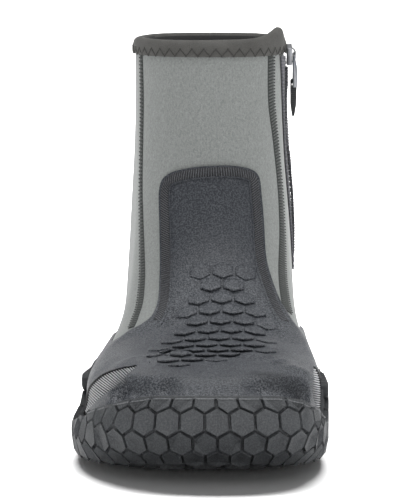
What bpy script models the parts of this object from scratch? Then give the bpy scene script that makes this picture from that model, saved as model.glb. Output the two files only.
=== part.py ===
"""Wading bootie for the right foot, standing empty on its sole.

Metres, +Z up. The toe points to -Y and the inner (medial) side of the foot is +X.
"""

import math
from collections import namedtuple

import bmesh
import bpy
import numpy as np
from mathutils import Matrix, Vector
from mathutils.geometry import delaunay_2d_cdt

# Sizes in millimetres
MM = 0.001
GAP = 0.3
HULL_LENGTH = 284.0
TOE_Y = -HULL_LENGTH / 2
TOE_APEX_X = 2.0
COLUMNS = 50

LUG_HEIGHT = 2.0
LUG_PITCH = 10.2
LUG_GROOVE = 0.8
LUG_DRAFT = 0.25
LUG_ROW_E = 28.6
FULL_LUGS = 125.0
TREAD_PITCH = 13.4
TREAD_GROOVE = 3.0
RIM_LIP = 1.0

TOE_SPRING = 7.6
SPRING_START = 85.0
HEEL_BEVEL = 3.0
BED_HEIGHT = 8.0
CUP_WALL = 2.9
UPPER_WALL = 3.5
INSOLE_THICK = 3.0

OVERLAY_THICK = 1.5
PANEL_THICK = 0.8
SEAM_THICK = 0.8
BINDING_THICK = 1.0
BINDING_DEPTH = 7.0
BINDING_RISE = 5.0
BINDING_PEAK_Y = 52.0

ZIP_TOP_Y = 60.0
ZIP_TOP_Z = 181.0
ZIP_SLANT = 0.3
ZIP_FOOT_Z = 70.0
ZIP_SLIT = 3.0
ZIP_OPENING = 11.0
TAPE_WIDTH = 14.5
TAPE_THICK = 0.8
COIL_WIDTH = 5.0
COIL_THICK = 1.5
SLIDER_Z = 171.5
SLIDER_LENGTH = 9.0
SLIDER_WIDTH = 8.0
SLIDER_THICK = 2.4
BRIDGE_ROOM = 1.7
BRIDGE_THICK = 0.9
BRIDGE_WIDTH = 2.4
PULL_THICK = 1.0
PULL_WIDTH = 6.4
PULL_LENGTH = 15.0
TAG_LENGTH = 17.5
TAG_THICK = 2.8
TAG_WIDTH = 3.0

# Plan of the sole under its lugs: distance behind the toe, half-width each side
Station = namedtuple("Station", "behind_toe lateral medial")
OUTLINE = (
    Station(3.5, 22.0, 26.0),
    Station(11.0, 34.5, 36.0),
    Station(25.0, 45.5, 42.3),
    Station(45.0, 53.5, 46.0),
    Station(69.0, 57.6, 47.7),
    Station(92.0, 58.4, 47.0),
    Station(118.0, 56.0, 43.6),
    Station(148.0, 50.0, 39.4),
    Station(180.0, 44.5, 37.6),
    Station(212.0, 41.3, 37.2),
    Station(240.0, 38.8, 36.0),
    Station(262.0, 32.2, 30.4),
    Station(276.0, 20.5, 19.6),
)

# Side of the sole: height of its top edge on each side, radius of its lower edge
Edge = namedtuple("Edge", "behind_toe lateral medial radius")
EDGES = (
    Edge(0.0, 36.3, 36.3, 18.0),
    Edge(8.0, 35.4, 35.2, 17.5),
    Edge(19.0, 31.8, 31.5, 15.5),
    Edge(30.0, 28.8, 27.2, 13.5),
    Edge(42.0, 25.4, 22.6, 10.0),
    Edge(55.0, 21.4, 19.6, 8.0),
    Edge(64.0, 19.2, 20.5, 7.5),
    Edge(72.0, 17.9, 29.5, 7.5),
    Edge(80.0, 17.6, 34.5, 7.5),
    Edge(92.0, 17.6, 36.0, 7.5),
    Edge(99.0, 24.0, 35.8, 8.0),
    Edge(107.0, 36.0, 35.0, 9.0),
    Edge(116.0, 39.5, 34.0, 9.0),
    Edge(138.0, 38.0, 30.5, 9.0),
    Edge(165.0, 30.0, 26.0, 9.0),
    Edge(200.0, 24.0, 23.5, 9.0),
    Edge(240.0, 24.5, 24.5, 10.0),
    Edge(270.0, 28.5, 28.5, 12.0),
    Edge(284.0, 30.0, 30.0, 12.0),
)

# Loops round the foot, from just above the feather edge to the collar
Level = namedtuple(
    "Level",
    "y_front z_front z_side y_back z_back half_front half_mid half_heel x_tip x_front blunt",
)
LEVELS = (
    Level(-133.6, 37.4, 22.5, 138.6, 24.0, 48.9, 43.0, 36.2, 2.0, -3.4, 2.5),
    Level(-126.5, 39.8, 28.5, 139.2, 32.0, 49.2, 43.2, 36.6, 3.0, -3.7, 2.6),
    Level(-113.0, 41.4, 33.5, 139.4, 40.0, 48.6, 43.0, 37.0, 4.0, -3.8, 2.6),
    Level(-94.0, 43.0, 38.2, 138.9, 48.0, 46.2, 42.4, 37.2, 6.0, -2.8, 2.6),
    Level(-74.0, 44.6, 43.2, 137.6, 56.0, 43.6, 41.6, 37.2, 7.0, -1.8, 2.5),
    Level(-54.0, 47.4, 49.0, 135.8, 65.0, 41.0, 40.6, 36.9, 7.0, -1.0, 2.4),
    Level(-34.0, 53.0, 56.2, 133.8, 74.0, 38.6, 39.6, 36.5, 6.0, -0.6, 2.3),
    Level(-15.0, 62.0, 65.6, 132.0, 84.0, 37.2, 39.3, 36.0, 4.5, -0.1, 2.25),
    Level(1.0, 73.0, 76.6, 130.6, 95.0, 36.3, 38.7, 35.4, 3.0, 0.2, 2.2),
    Level(13.0, 86.0, 89.6, 129.8, 107.0, 35.8, 38.1, 34.8, 2.0, 0.3, 2.2),
    Level(20.2, 101.0, 104.2, 129.7, 119.0, 35.2, 37.4, 34.4, 1.0, 0.2, 2.15),
    Level(22.9, 112.5, 115.0, 129.9, 128.5, 34.6, 36.7, 34.2, 0.7, 0.0, 2.12),
    Level(24.3, 123.0, 125.0, 130.4, 137.0, 34.2, 36.1, 34.0, 0.5, -0.3, 2.1),
    Level(25.3, 143.0, 144.4, 131.8, 153.5, 33.8, 35.3, 34.0, 0.0, -0.6, 2.1),
    Level(24.6, 162.0, 163.3, 133.4, 168.0, 34.0, 35.4, 34.2, 0.0, -0.6, 2.1),
    Level(23.8, 178.0, 179.4, 135.0, 181.0, 34.2, 35.5, 34.4, 0.0, -0.6, 2.1),
)

# Instep guard seen from the front: half-widths each side and how far back it reaches
Guard = namedtuple("Guard", "height lateral medial back")
GUARD = (
    Guard(24.0, 70.0, 70.0, 50.0),
    Guard(36.0, 60.0, 60.0, 38.0),
    Guard(41.0, 49.5, 47.0, 32.0),
    Guard(45.0, 44.6, 44.5, 26.0),
    Guard(47.4, 41.3, 42.6, 21.0),
    Guard(51.0, 36.0, 39.5, 13.0),
    Guard(53.2, 31.5, 37.6, 15.0),
    Guard(57.0, 26.5, 34.8, 40.0),
    Guard(63.3, 23.8, 30.8, 46.0),
    Guard(73.4, 23.3, 26.9, 60.0),
    Guard(82.0, 23.2, 24.9, 60.0),
    Guard(97.0, 23.2, 24.1, 60.0),
    Guard(111.0, 23.0, 22.9, 60.0),
    Guard(116.0, 21.6, 21.5, 60.0),
    Guard(119.5, 18.0, 18.0, 60.0),
    Guard(122.0, 12.0, 12.0, 60.0),
)

# Ribbed flex panels beside the toe: front and rear edge of each at a height
Flex = namedtuple("Flex", "height lateral_front lateral_rear medial_front medial_rear")
FLEX = (
    Flex(12.0, -48.0, -44.0, -98.0, -68.0),
    Flex(17.0, -54.0, -50.0, -97.0, -70.0),
    Flex(21.0, -69.0, -53.5, -96.0, -69.0),
    Flex(24.5, -80.0, -55.5, -97.0, -67.5),
    Flex(28.0, -88.4, -58.0, -103.0, -66.0),
    Flex(31.2, -95.5, -63.5, -106.5, -66.0),
    Flex(34.5, -101.5, -70.0, -106.2, -67.0),
    Flex(37.3, -105.0, -73.0, -102.0, -69.0),
    Flex(39.3, -101.0, -75.5, -94.0, -71.5),
    Flex(40.6, -93.0, -79.0, -84.0, -74.5),
    Flex(41.6, -83.5, -83.5, -77.0, -77.5),
    Flex(44.0, -74.0, -90.0, -70.0, -84.0),
)

# Front seams of the shaft: place seen from the front at a height
Seam = namedtuple("Seam", "height lateral medial")
SEAMS = (
    Seam(40.0, -44.0, 44.0),
    Seam(50.5, -36.2, 38.0),
    Seam(56.0, -33.5, 35.0),
    Seam(62.0, -31.8, 33.2),
    Seam(73.0, -31.1, 32.2),
    Seam(91.0, -31.7, 32.6),
    Seam(110.0, -32.2, 31.8),
    Seam(133.0, -31.9, 29.6),
    Seam(151.0, -31.6, 27.6),
    Seam(190.0, -32.4, 27.2),
)
SEAM_HALF = 1.35


def smooth(t):
    t = min(max(t, 0.0), 1.0)
    return t * t * (3 - 2 * t)


def eased(t, knots, values):
    """Value at t between knots, with a level tangent at each knot."""
    for k in range(len(knots) - 1):
        if t <= knots[k + 1]:
            part = smooth((t - knots[k]) / (knots[k + 1] - knots[k]))
            return values[k] + (values[k + 1] - values[k]) * part
    return values[-1]


def closed_spline(points, steps):
    """Dense samples of the periodic cubic spline through the points."""
    pts = np.array(points, float)
    n = len(pts)
    span = np.linalg.norm(np.roll(pts, -1, axis=0) - pts, axis=1)
    slope = (np.roll(pts, -1, axis=0) - pts) / span[:, None]
    system = np.zeros((n, n))
    for i in range(n):
        system[i, i - 1] += span[i - 1]
        system[i, i] += 2 * (span[i - 1] + span[i])
        system[i, (i + 1) % n] += span[i]
    bend = np.linalg.solve(system, 6 * (slope - np.roll(slope, 1, axis=0)))
    out = []
    for i in range(n):
        j = (i + 1) % n
        h = span[i]
        for s in np.arange(steps) / steps * h:
            a, b = h - s, s
            out.append(
                (bend[i] * a**3 + bend[j] * b**3) / (6 * h)
                + (pts[i] / h - bend[i] * h / 6) * a
                + (pts[j] / h - bend[j] * h / 6) * b
            )
    return np.array(out)


# Edge line of the sole, walked from the toe round the medial side
MEDIAL_SIDE = [(s.medial, TOE_Y + s.behind_toe) for s in OUTLINE]
LATERAL_SIDE = [(-s.lateral, TOE_Y + s.behind_toe) for s in reversed(OUTLINE)]
DENSE = closed_spline(
    [(TOE_APEX_X, TOE_Y), *MEDIAL_SIDE, (0.0, -TOE_Y), *LATERAL_SIDE], 40
)
DENSE = np.vstack([DENSE, DENSE[:1]])
WALKED = np.concatenate(
    [[0.0], np.cumsum(np.linalg.norm(np.diff(DENSE, axis=0), axis=1))]
)
PERIMETER = WALKED[-1]
HEEL_P = WALKED[int(np.argmax(DENSE[:, 1]))]


def edge_at(p):
    """Point of the edge line at distance p along it, and its outward normal."""
    p = p % PERIMETER
    ends = np.array([p - 0.5, p, p + 0.5]) % PERIMETER
    xs = np.interp(ends, WALKED, DENSE[:, 0])
    ys = np.interp(ends, WALKED, DENSE[:, 1])
    along = np.array([xs[2] - xs[0], ys[2] - ys[0]])
    along = along / np.linalg.norm(along)
    return np.array([xs[1], ys[1]]), np.array([along[1], -along[0]])


def is_medial(p):
    return (p % PERIMETER) <= HEEL_P


def edge_value(p, point, name):
    knots = [e.behind_toe for e in EDGES]
    return float(np.interp(point[1] - TOE_Y, knots, [getattr(e, name) for e in EDGES]))


def rim_height(p):
    point, _ = edge_at(p)
    return edge_value(p, point, "medial" if is_medial(p) else "lateral")


def spring(y):
    """Lift of the sole towards the toe and at the back of the heel."""
    toe = max(0.0, SPRING_START - (y - TOE_Y)) / SPRING_START
    heel = max(0.0, (y + TOE_Y) + 22.0) / 22.0
    return TOE_SPRING * toe**2 + HEEL_BEVEL * heel**2


def arch(y):
    """Lift of the waist of the sole, between ball and heel."""
    behind = y - TOE_Y
    return 2.0 * smooth((behind - 126) / 22) * smooth((206 - behind) / 22)


def toe_lift(y):
    return TOE_SPRING * (max(0.0, SPRING_START - (y - TOE_Y)) / SPRING_START) ** 2


def hull_floor(y):
    return spring(y) + arch(y) + LUG_HEIGHT


def bed(y):
    return BED_HEIGHT + toe_lift(y)


def edge_inset(p, z):
    """How far the rounded lower edge has drawn in from the edge line at height z."""
    point, _ = edge_at(p)
    radius = edge_value(p, point, "radius")
    drop = hull_floor(point[1]) + radius - z
    if drop <= 0:
        return 0.0
    drop = min(drop, radius)
    return radius - math.sqrt(radius**2 - drop**2)


def level_point(level, p):
    """Where the column at p crosses one loop of the upper."""
    point, _ = edge_at(p)
    t = (point[1] - TOE_Y) / HULL_LENGTH
    t = min(max(t, 0.0), 1.0)
    side = 1.0 if is_medial(p) else -1.0
    half = eased(
        t,
        (0.0, 0.28, 0.62, 0.9, 1.0),
        (level.half_front * 0.99, level.half_front, level.half_mid, level.half_heel, level.half_heel),
    )
    if t < 0.32:
        half *= (1 - (1 - t / 0.32) ** level.blunt) ** (1 / level.blunt)
    if t > 0.7:
        half *= math.sqrt(max(0.0, 1 - ((t - 0.7) / 0.3) ** 2.2))
    middle = eased(t, (0.0, 0.28, 0.7, 1.0), (level.x_tip, level.x_front, -0.4, 0.0))
    x = middle + side * half
    y = level.y_front + t * (level.y_back - level.y_front)
    z = eased(
        t,
        (0.0, 0.3, 0.62, 1.0),
        (level.z_front, level.z_side, level.z_side, level.z_back),
    )
    return np.array([x, y, z])


def rib(p):
    """Points up the outside of the upper at p: feather edge, cup wall, then every loop."""
    point, out = edge_at(p)
    foot_z = bed(point[1]) + GAP
    foot = point - out * (CUP_WALL + edge_inset(p, foot_z) + 0.3)
    foot_z = bed(foot[1]) + GAP
    radius = edge_value(p, point, "radius")
    wall_z = max(hull_floor(point[1]) + radius, foot_z + 7.0)
    wall = point - out * CUP_WALL
    rows = [np.array([*foot, foot_z]), np.array([*wall, wall_z])]
    rows += [level_point(level, p) for level in LEVELS]
    return rows


def columns(count):
    """Distances round the edge, closer together at toe and heel."""
    walk = np.linspace(0, PERIMETER, 2000)
    to_toe = np.minimum(walk, PERIMETER - walk) / 120.0
    to_heel = np.abs(walk - HEEL_P) / 80.0
    near = np.maximum(np.clip(1 - to_toe, 0, 1), np.clip(1 - to_heel, 0, 1))
    density = 1 + 1.2 * near * near * (3 - 2 * near)
    total = np.concatenate([[0.0], np.cumsum((density[1:] + density[:-1]) / 2)])
    return np.interp(np.arange(count) / count * total[-1], total, walk)


COLUMN_P = columns(COLUMNS)
SHEET = np.array([rib(p) for p in COLUMN_P])
ROWS = SHEET.shape[1]


# Scene helpers
for old in list(bpy.data.objects):
    bpy.data.objects.remove(old, do_unlink=True)

PARTS = bpy.data.collections.new("wading_bootie")
CUTTERS = bpy.data.collections.new("cutters")
bpy.context.scene.collection.children.link(PARTS)
bpy.context.scene.collection.children.link(CUTTERS)
CUTTERS.hide_render = True


def material(name, colour, roughness, metallic=0.0):
    made = bpy.data.materials.new(name)
    made.use_nodes = True
    shader = made.node_tree.nodes["Principled BSDF"]
    shader.inputs["Base Color"].default_value = (*colour, 1.0)
    shader.inputs["Roughness"].default_value = roughness
    shader.inputs["Metallic"].default_value = metallic
    return made


NEOPRENE = material("neoprene", (0.28, 0.29, 0.27), 0.85)
RUBBER = material("rubber", (0.06, 0.064, 0.068), 0.6)
MOULDED = material("moulded_rubber", (0.055, 0.06, 0.066), 0.55)
BINDING = material("binding", (0.105, 0.1, 0.092), 0.9)
THREAD = material("seam_tape", (0.045, 0.05, 0.048), 0.85)
TAPE = material("zip_tape", (0.075, 0.073, 0.085), 0.7)
COIL = material("zip_coil", (0.05, 0.05, 0.058), 0.45)
METAL = material("slider_metal", (0.62, 0.63, 0.65), 0.3, 1.0)
CORD = material("puller", (0.012, 0.012, 0.013), 0.7)
FOOTBED = material("footbed", (0.035, 0.036, 0.038), 0.9)


def add_object(name, mesh, stuff, collection=PARTS):
    obj = bpy.data.objects.new(name, mesh)
    collection.objects.link(obj)
    if stuff:
        mesh.materials.append(stuff)
    if collection is CUTTERS:
        obj.hide_render = True
        obj.display_type = "WIRE"
    return obj


def mesh_from(bm, name, smooth_faces=True):
    for face in bm.faces:
        face.smooth = smooth_faces
    mesh = bpy.data.meshes.new(name)
    bm.to_mesh(mesh)
    bm.free()
    return mesh


def vertex(bm, point):
    return bm.verts.new(Vector([float(c) * MM for c in point]))


def sheet_bmesh(offset=0.0):
    """The outside of the upper as an open sheet, moved out along its normals."""
    bm = bmesh.new()
    grid = [[vertex(bm, q) for q in column] for column in SHEET]
    for i in range(COLUMNS):
        a, b = grid[i], grid[(i + 1) % COLUMNS]
        for k in range(ROWS - 1):
            bm.faces.new((a[k], b[k], b[k + 1]))
            bm.faces.new((a[k], b[k + 1], a[k + 1]))
    bm.normal_update()
    if offset:
        for v, move in [(v, v.normal * v.calc_shell_factor()) for v in bm.verts]:
            v.co += move * (offset * MM)
    return bm, grid


def solidify(obj, thickness, offset):
    made = obj.modifiers.new("wall", "SOLIDIFY")
    made.thickness = thickness * MM
    made.offset = offset
    made.use_even_offset = True
    return made


def boolean(obj, cutter, operation):
    made = obj.modifiers.new(operation.lower(), "BOOLEAN")
    made.object = cutter
    made.operation = operation
    made.solver = "EXACT"
    return made


def fill_loop(bm, loop, height=None):
    """Triangles over a closed loop of vertices, through points at a given height."""
    ring = [(i, (i + 1) % len(loop)) for i in range(len(loop))]
    verts = list(loop)
    if height:
        border = np.array([[v.co.x, v.co.y] for v in loop]) / MM
        for y in np.arange(TOE_Y + 8, TOE_Y + SPRING_START + 8, 9.0):
            for x in (-36.0, -18.0, 0.0, 18.0, 34.0):
                q = np.array([x, y])
                if plan_inside(q, border) and np.min(np.linalg.norm(border - q, axis=1)) > 4:
                    verts.append(vertex(bm, (x, y, height(y))))
    flat = [Vector((v.co.x, v.co.y)) / MM for v in verts]
    for face in delaunay_2d_cdt(flat, ring, [], 1, 1e-7)[2]:
        bm.faces.new([verts[i] for i in face])


# Outsole: a hull with hexagon lugs on its side and tread
class Profile:
    """Outside of the sole at p: under the foot, round the lower edge, up the wall."""

    def __init__(self, p):
        self.point, self.out = edge_at(p)
        self.radius = edge_value(p, self.point, "radius")
        self.inner = self.point - self.out * self.radius
        trail = []
        for turn in np.linspace(0, math.pi / 2, 9):
            spot = self.inner + self.out * self.radius * math.sin(turn)
            rise = self.radius * (1 - math.cos(turn))
            trail.append([*spot, hull_floor(spot[1]) + rise])
        for q in rib(p)[1:9]:
            wall = [q[0] + self.out[0] * CUP_WALL, q[1] + self.out[1] * CUP_WALL, q[2]]
            if wall[2] > trail[-1][2] + 0.2:
                trail.append(wall)
        self.trail = np.array(trail)
        steps = np.linalg.norm(np.diff(self.trail, axis=0), axis=1)
        self.e = np.concatenate([[0.0], np.cumsum(steps)])

    def at(self, e):
        return np.array([np.interp(e, self.e, self.trail[:, k]) for k in range(3)])

    def flat(self, e):
        return self.inner + self.out * e

    def rim(self, z):
        return float(np.interp(z, self.trail[8:, 2], self.e[8:]))


def profile(p, known={}):
    key = round(p % PERIMETER, 3)
    if key not in known:
        known[key] = Profile(key)
    return known[key]


def rim_e(p):
    return profile(p).rim(rim_height(p))


def hull_normal(p, e):
    ahead, behind = profile(p + 0.6).at(e), profile(p - 0.6).at(e)
    here = profile(p)
    across = here.at(e + 0.6) - here.at(max(e - 0.6, 0.0))
    normal = np.cross(ahead - behind, across)
    return normal / np.linalg.norm(normal)


def hexagon(centre, pitch):
    reach = pitch / math.sqrt(3)
    turns = [math.radians(30 + 60 * k) for k in range(6)]
    return [centre + reach * np.array([math.cos(a), math.sin(a)]) for a in turns]


def area(poly):
    x, y = np.array(poly).T
    return 0.5 * float(np.dot(x, np.roll(y, -1)) - np.dot(y, np.roll(x, -1)))


def clipped(poly, inside):
    """The part of a polygon where the function inside(point) is positive."""
    out = []
    for k, b in enumerate(poly):
        a = poly[k - 1]
        fa, fb = inside(a), inside(b)
        if (fa > 0) != (fb > 0):
            out.append(a + (b - a) * (fa / (fa - fb)))
        if fb > 0:
            out.append(b)
    return out


def drawn_in(poly, distance):
    """A convex polygon with every side moved in by a distance."""
    n = len(poly)
    lines = []
    for k in range(n):
        a, b = poly[k], poly[(k + 1) % n]
        along = (b - a) / np.linalg.norm(b - a)
        lines.append((a + np.array([-along[1], along[0]]) * distance, along))
    out = []
    for k in range(n):
        (a, u), (b, v) = lines[k - 1], lines[k]
        cross = u[0] * v[1] - u[1] * v[0]
        step = ((b - a)[0] * v[1] - (b - a)[1] * v[0]) / cross
        out.append(a + u * step)
    return out


def without_short_sides(poly, least):
    kept = []
    for k, q in enumerate(poly):
        if np.linalg.norm(q - poly[k - 1]) > least:
            kept.append(q)
    return kept


def inside_polygon(q, poly, margin):
    for k in range(len(poly)):
        a, b = poly[k - 1], poly[k]
        along = (b - a) / np.linalg.norm(b - a)
        if along[0] * (q - a)[1] - along[1] * (q - a)[0] < -margin:
            return False
    return True


class Skin:
    """Points and edges of the sole's outside, flat in plan and in place."""

    def __init__(self):
        self.flat, self.place, self.edges, self.lugs = [], [], [], []

    def add(self, flat, place):
        self.flat.append(Vector([float(c) for c in flat]))
        self.place.append(place)
        return len(self.flat) - 1

    def ring(self, flats, places):
        made = [self.add(f, q) for f, q in zip(flats, places)]
        self.edges += [(made[k - 1], made[k]) for k in range(len(made))]
        return made


def wall_lugs(skin):
    """Rows of hexagons round the side, cut off along the top edge."""
    count = round(PERIMETER / LUG_PITCH)
    pitch = PERIMETER / count
    row_step = pitch * math.sqrt(3) / 2
    for row in range(-1, 3):
        e = LUG_ROW_E - row * row_step
        for k in range(count):
            centre = np.array([(k + 0.5 * (row % 2)) * pitch, e])
            if row == 2 and edge_at(centre[0])[0][1] > TOE_Y + FULL_LUGS:
                continue
            cell = clipped(
                hexagon(centre, pitch - LUG_GROOVE),
                lambda q: rim_e(q[0]) - RIM_LIP - q[1],
            )
            cell = without_short_sides(cell, 1.2) if len(cell) > 2 else []
            if len(cell) < 3 or area(cell) < 16.0:
                continue
            top = drawn_in(cell, LUG_DRAFT)
            if area(top) < 9.0:
                continue
            flat = [profile(q[0]).flat(q[1]) for q in cell]
            skin.ring(flat, [profile(q[0]).at(q[1]) for q in cell])
            skin.lugs.append(flat)
            skin.ring(
                [profile(q[0]).flat(q[1]) for q in top],
                [profile(q[0]).at(q[1]) + hull_normal(*q) * LUG_HEIGHT for q in top],
            )


def tread_lugs(skin):
    """Hexagons under forefoot and heel, standing on the ground plane."""
    row_step = TREAD_PITCH * math.sqrt(3) / 2
    border = [profile(p).flat(3.0) for p in np.linspace(0, PERIMETER, 160, endpoint=False)]
    border = np.array(border)
    for row in range(-12, 13):
        y = row * row_step
        behind = y - TOE_Y
        if 128 < behind < 204:
            continue
        for k in range(-6, 7):
            centre = np.array([(k + 0.5 * (row % 2)) * TREAD_PITCH - 3.0, y])
            cell = hexagon(centre, TREAD_PITCH - TREAD_GROOVE)
            gap = np.min(np.linalg.norm(border - centre, axis=1))
            if not plan_inside(centre, border) or gap < TREAD_PITCH * 0.52:
                continue
            skin.ring(cell, [np.array([*q, hull_floor(q[1])]) for q in cell])
            skin.lugs.append(cell)
            top = drawn_in(cell, LUG_DRAFT)
            skin.ring(top, [np.array([*q, spring(q[1]) + arch(q[1])]) for q in top])


def plan_inside(q, loop):
    a, b = loop, np.roll(loop, -1, axis=0)
    cut = (a[:, 1] > q[1]) != (b[:, 1] > q[1])
    x = a[:, 0] + (q[1] - a[:, 1]) / np.where(cut, b[:, 1] - a[:, 1], 1) * (b[:, 0] - a[:, 0])
    return bool(np.sum(cut & (x > q[0])) % 2)


def plain_points(skin):
    """Points that carry the hull's curve where no lug stands."""
    for p in columns(46):
        for e in (1.0, 7.0, 13.5, 20.0, 27.0, 34.0):
            if e > rim_e(p) - 2.5:
                continue
            q = profile(p).flat(e)
            if not any(inside_polygon(q, lug, 1.5) for lug in skin.lugs):
                skin.add(q, profile(p).at(e))
    for behind in range(110, 225, 14):
        for x in (-24.0, -8.0, 8.0, 22.0):
            q = np.array([x, TOE_Y + behind])
            if not any(inside_polygon(q, lug, 2.0) for lug in skin.lugs):
                skin.add(q, np.array([*q, hull_floor(q[1])]))


RIM_P = np.linspace(0, PERIMETER, 104, endpoint=False)


def strip(bm, low, high):
    """Triangles between two closed loops of vertices, all with the same diagonal."""
    for k in range(len(low)):
        j = (k + 1) % len(low)
        bm.faces.new((low[k], low[j], high[j]))
        bm.faces.new((low[k], high[j], high[k]))


def close_top(bm, loop, places, lift):
    """Cap over the sole's top edge: level towards the middle, then filled."""
    inner = [vertex(bm, (x * 0.6, y * 0.86, z + lift)) for x, y, z in places]
    strip(bm, loop, inner)
    fill_loop(bm, inner)


def build_outsole():
    skin = Skin()
    rim = skin.ring(
        [profile(p).flat(rim_e(p)) for p in RIM_P],
        [profile(p).at(rim_e(p)) for p in RIM_P],
    )
    wall_lugs(skin)
    tread_lugs(skin)
    plain_points(skin)
    found = delaunay_2d_cdt(skin.flat, skin.edges, [], 1, 1e-7)
    bm = bmesh.new()
    outside = [vertex(bm, q) for q in skin.place]
    origin = [ids[0] for ids in found[3]]
    for face in found[2]:
        bm.faces.new([outside[origin[i]] for i in face])
    close_top(bm, [outside[i] for i in rim], [skin.place[i] for i in rim], 0.0)
    loose = [v for v in bm.verts if not v.link_faces]
    bmesh.ops.delete(bm, geom=loose, context="VERTS")
    bmesh.ops.recalc_face_normals(bm, faces=bm.faces)
    body = add_object("outsole", mesh_from(bm, "outsole", False), MOULDED)
    boolean(body, last_cutter(), "DIFFERENCE")
    return body


def last_cutter():
    """The room that the upper takes up inside the sole, with the gap round it."""
    bm, grid = sheet_bmesh(GAP)
    for column in grid:
        column[0].co.z -= GAP * MM * 1.5
    fill_loop(bm, [column[0] for column in grid], lambda y: bed(y) - 0.15)
    fill_loop(bm, [column[-1] for column in grid])
    bmesh.ops.recalc_face_normals(bm, faces=bm.faces)
    return add_object("last_cutter", mesh_from(bm, "last_cutter"), None, CUTTERS)


def build_upper():
    bm, _ = sheet_bmesh()
    obj = add_object("upper", mesh_from(bm, "upper"), NEOPRENE)
    solidify(obj, UPPER_WALL, -1.0)
    return obj


def build_insole():
    bm = bmesh.new()
    loop = []
    for p in COLUMN_P:
        point, out = edge_at(p)
        foot = rib(p)[0][:2] - out * (UPPER_WALL + 0.8)
        loop.append(vertex(bm, (*foot, bed(foot[1]) + GAP)))
    fill_loop(bm, loop, lambda y: bed(y) + GAP)
    bmesh.ops.recalc_face_normals(bm, faces=bm.faces)
    if sum(face.normal.z for face in bm.faces) < 0:
        bmesh.ops.reverse_faces(bm, faces=bm.faces)
    obj = add_object("insole", mesh_from(bm, "insole", False), FOOTBED)
    solidify(obj, INSOLE_THICK, 1.0)
    return obj


# Pieces cut from the upper's own outside
def listed(rows, column, height):
    return float(np.interp(height, [r.height for r in rows], [getattr(r, column) for r in rows]))


def cut_sheet(bm, inside):
    """Cut the sheet along the line where inside is zero and keep its positive side."""

    def value(co):
        return inside(*(co / MM))

    sign = {v: value(v.co) for v in bm.verts}
    line = set()
    for edge in list(bm.edges):
        a, b = edge.verts
        if (sign[a] > 0) == (sign[b] > 0):
            continue
        low, high = 0.0, 1.0
        for _ in range(24):
            middle = (low + high) / 2
            if (value(a.co.lerp(b.co, middle)) > 0) == (sign[a] > 0):
                low = middle
            else:
                high = middle
        if low < 0.04 or low > 0.96:
            line.add(a if low < 0.5 else b)
        else:
            line.add(bmesh.utils.edge_split(edge, a, low)[1])
    bmesh.ops.connect_verts(bm, verts=list(line))
    outside = []
    for face in bm.faces:
        known = [sign[v] for v in face.verts if v not in line]
        if (max(known) if known else value(face.calc_center_median())) <= 0:
            outside.append(face)
    bmesh.ops.delete(bm, geom=outside, context="FACES")


def sheet_piece(name, stuff, inner, thick, cuts):
    """A piece of the upper's outside, moved out by inner, cut to shape and thickened."""
    bm, _ = sheet_bmesh(inner)
    for inside in cuts:
        cut_sheet(bm, inside)
    obj = add_object(name, mesh_from(bm, name), stuff)
    solidify(obj, thick, 1.0)
    return obj


def behind_edge(y, z, edge):
    """Distance behind an edge of a flex panel, square to it."""
    slope = listed(FLEX, edge, z + 0.5) - listed(FLEX, edge, z - 0.5)
    return (y - listed(FLEX, edge, z)) / math.hypot(1.0, slope)


def flex_room(x, y, z):
    """Positive inside either flex panel, negative outside both."""
    side = "medial" if x > 0 else "lateral"
    return min(behind_edge(y, z, side + "_front"), -behind_edge(y, z, side + "_rear"))


def above_sole(x, y, z):
    """Positive from a little below the sole's top edge upwards."""
    return z + 3.0 - edge_value(0.0, (x, y), "medial" if x > 0 else "lateral")


def rim_cutter():
    """Everything below the sole's top edge, with the gap above it."""
    bm = bmesh.new()
    outer, under, rim, places = [], [], [], []
    for p in RIM_P:
        x, y, z = profile(p).at(rim_e(p))
        out = profile(p).out * 6.0
        slope = abs(rim_height(p + 2.0) - rim_height(p - 2.0)) / 4.0
        z += GAP * math.sqrt(1 + slope**2)
        places.append((x, y, z))
        rim.append(vertex(bm, (x, y, z)))
        outer.append(vertex(bm, (x + out[0], y + out[1], z)))
        under.append(vertex(bm, (x + out[0], y + out[1], -4.0)))
    strip(bm, under, outer)
    strip(bm, outer, rim)
    close_top(bm, rim, places, 0.0)
    fill_loop(bm, under)
    bmesh.ops.recalc_face_normals(bm, faces=bm.faces)
    return add_object("rim_cutter", mesh_from(bm, "rim_cutter", False), None, CUTTERS)


def build_overlay():
    """Rubber guard over toe, vamp and instep, and the ribbed panels let into it."""
    rim = rim_cutter()
    guard = sheet_piece(
        "rubber_overlay",
        RUBBER,
        GAP,
        OVERLAY_THICK,
        (
            lambda x, y, z: x + listed(GUARD, "lateral", z),
            lambda x, y, z: listed(GUARD, "medial", z) - x,
            lambda x, y, z: GUARD[-1].height - z,
            lambda x, y, z: listed(GUARD, "back", z) - y,
            lambda x, y, z: -GAP - flex_room(x, y, z),
            above_sole,
        ),
    )
    boolean(guard, rim, "DIFFERENCE")
    for side, sign in (("lateral", -1.0), ("medial", 1.0)):
        panel = sheet_piece(
            "flex_panel_" + side,
            RUBBER,
            GAP,
            PANEL_THICK,
            (flex_room, lambda x, y, z, sign=sign: sign * x, above_sole),
        )
        boolean(panel, rim, "DIFFERENCE")


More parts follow.
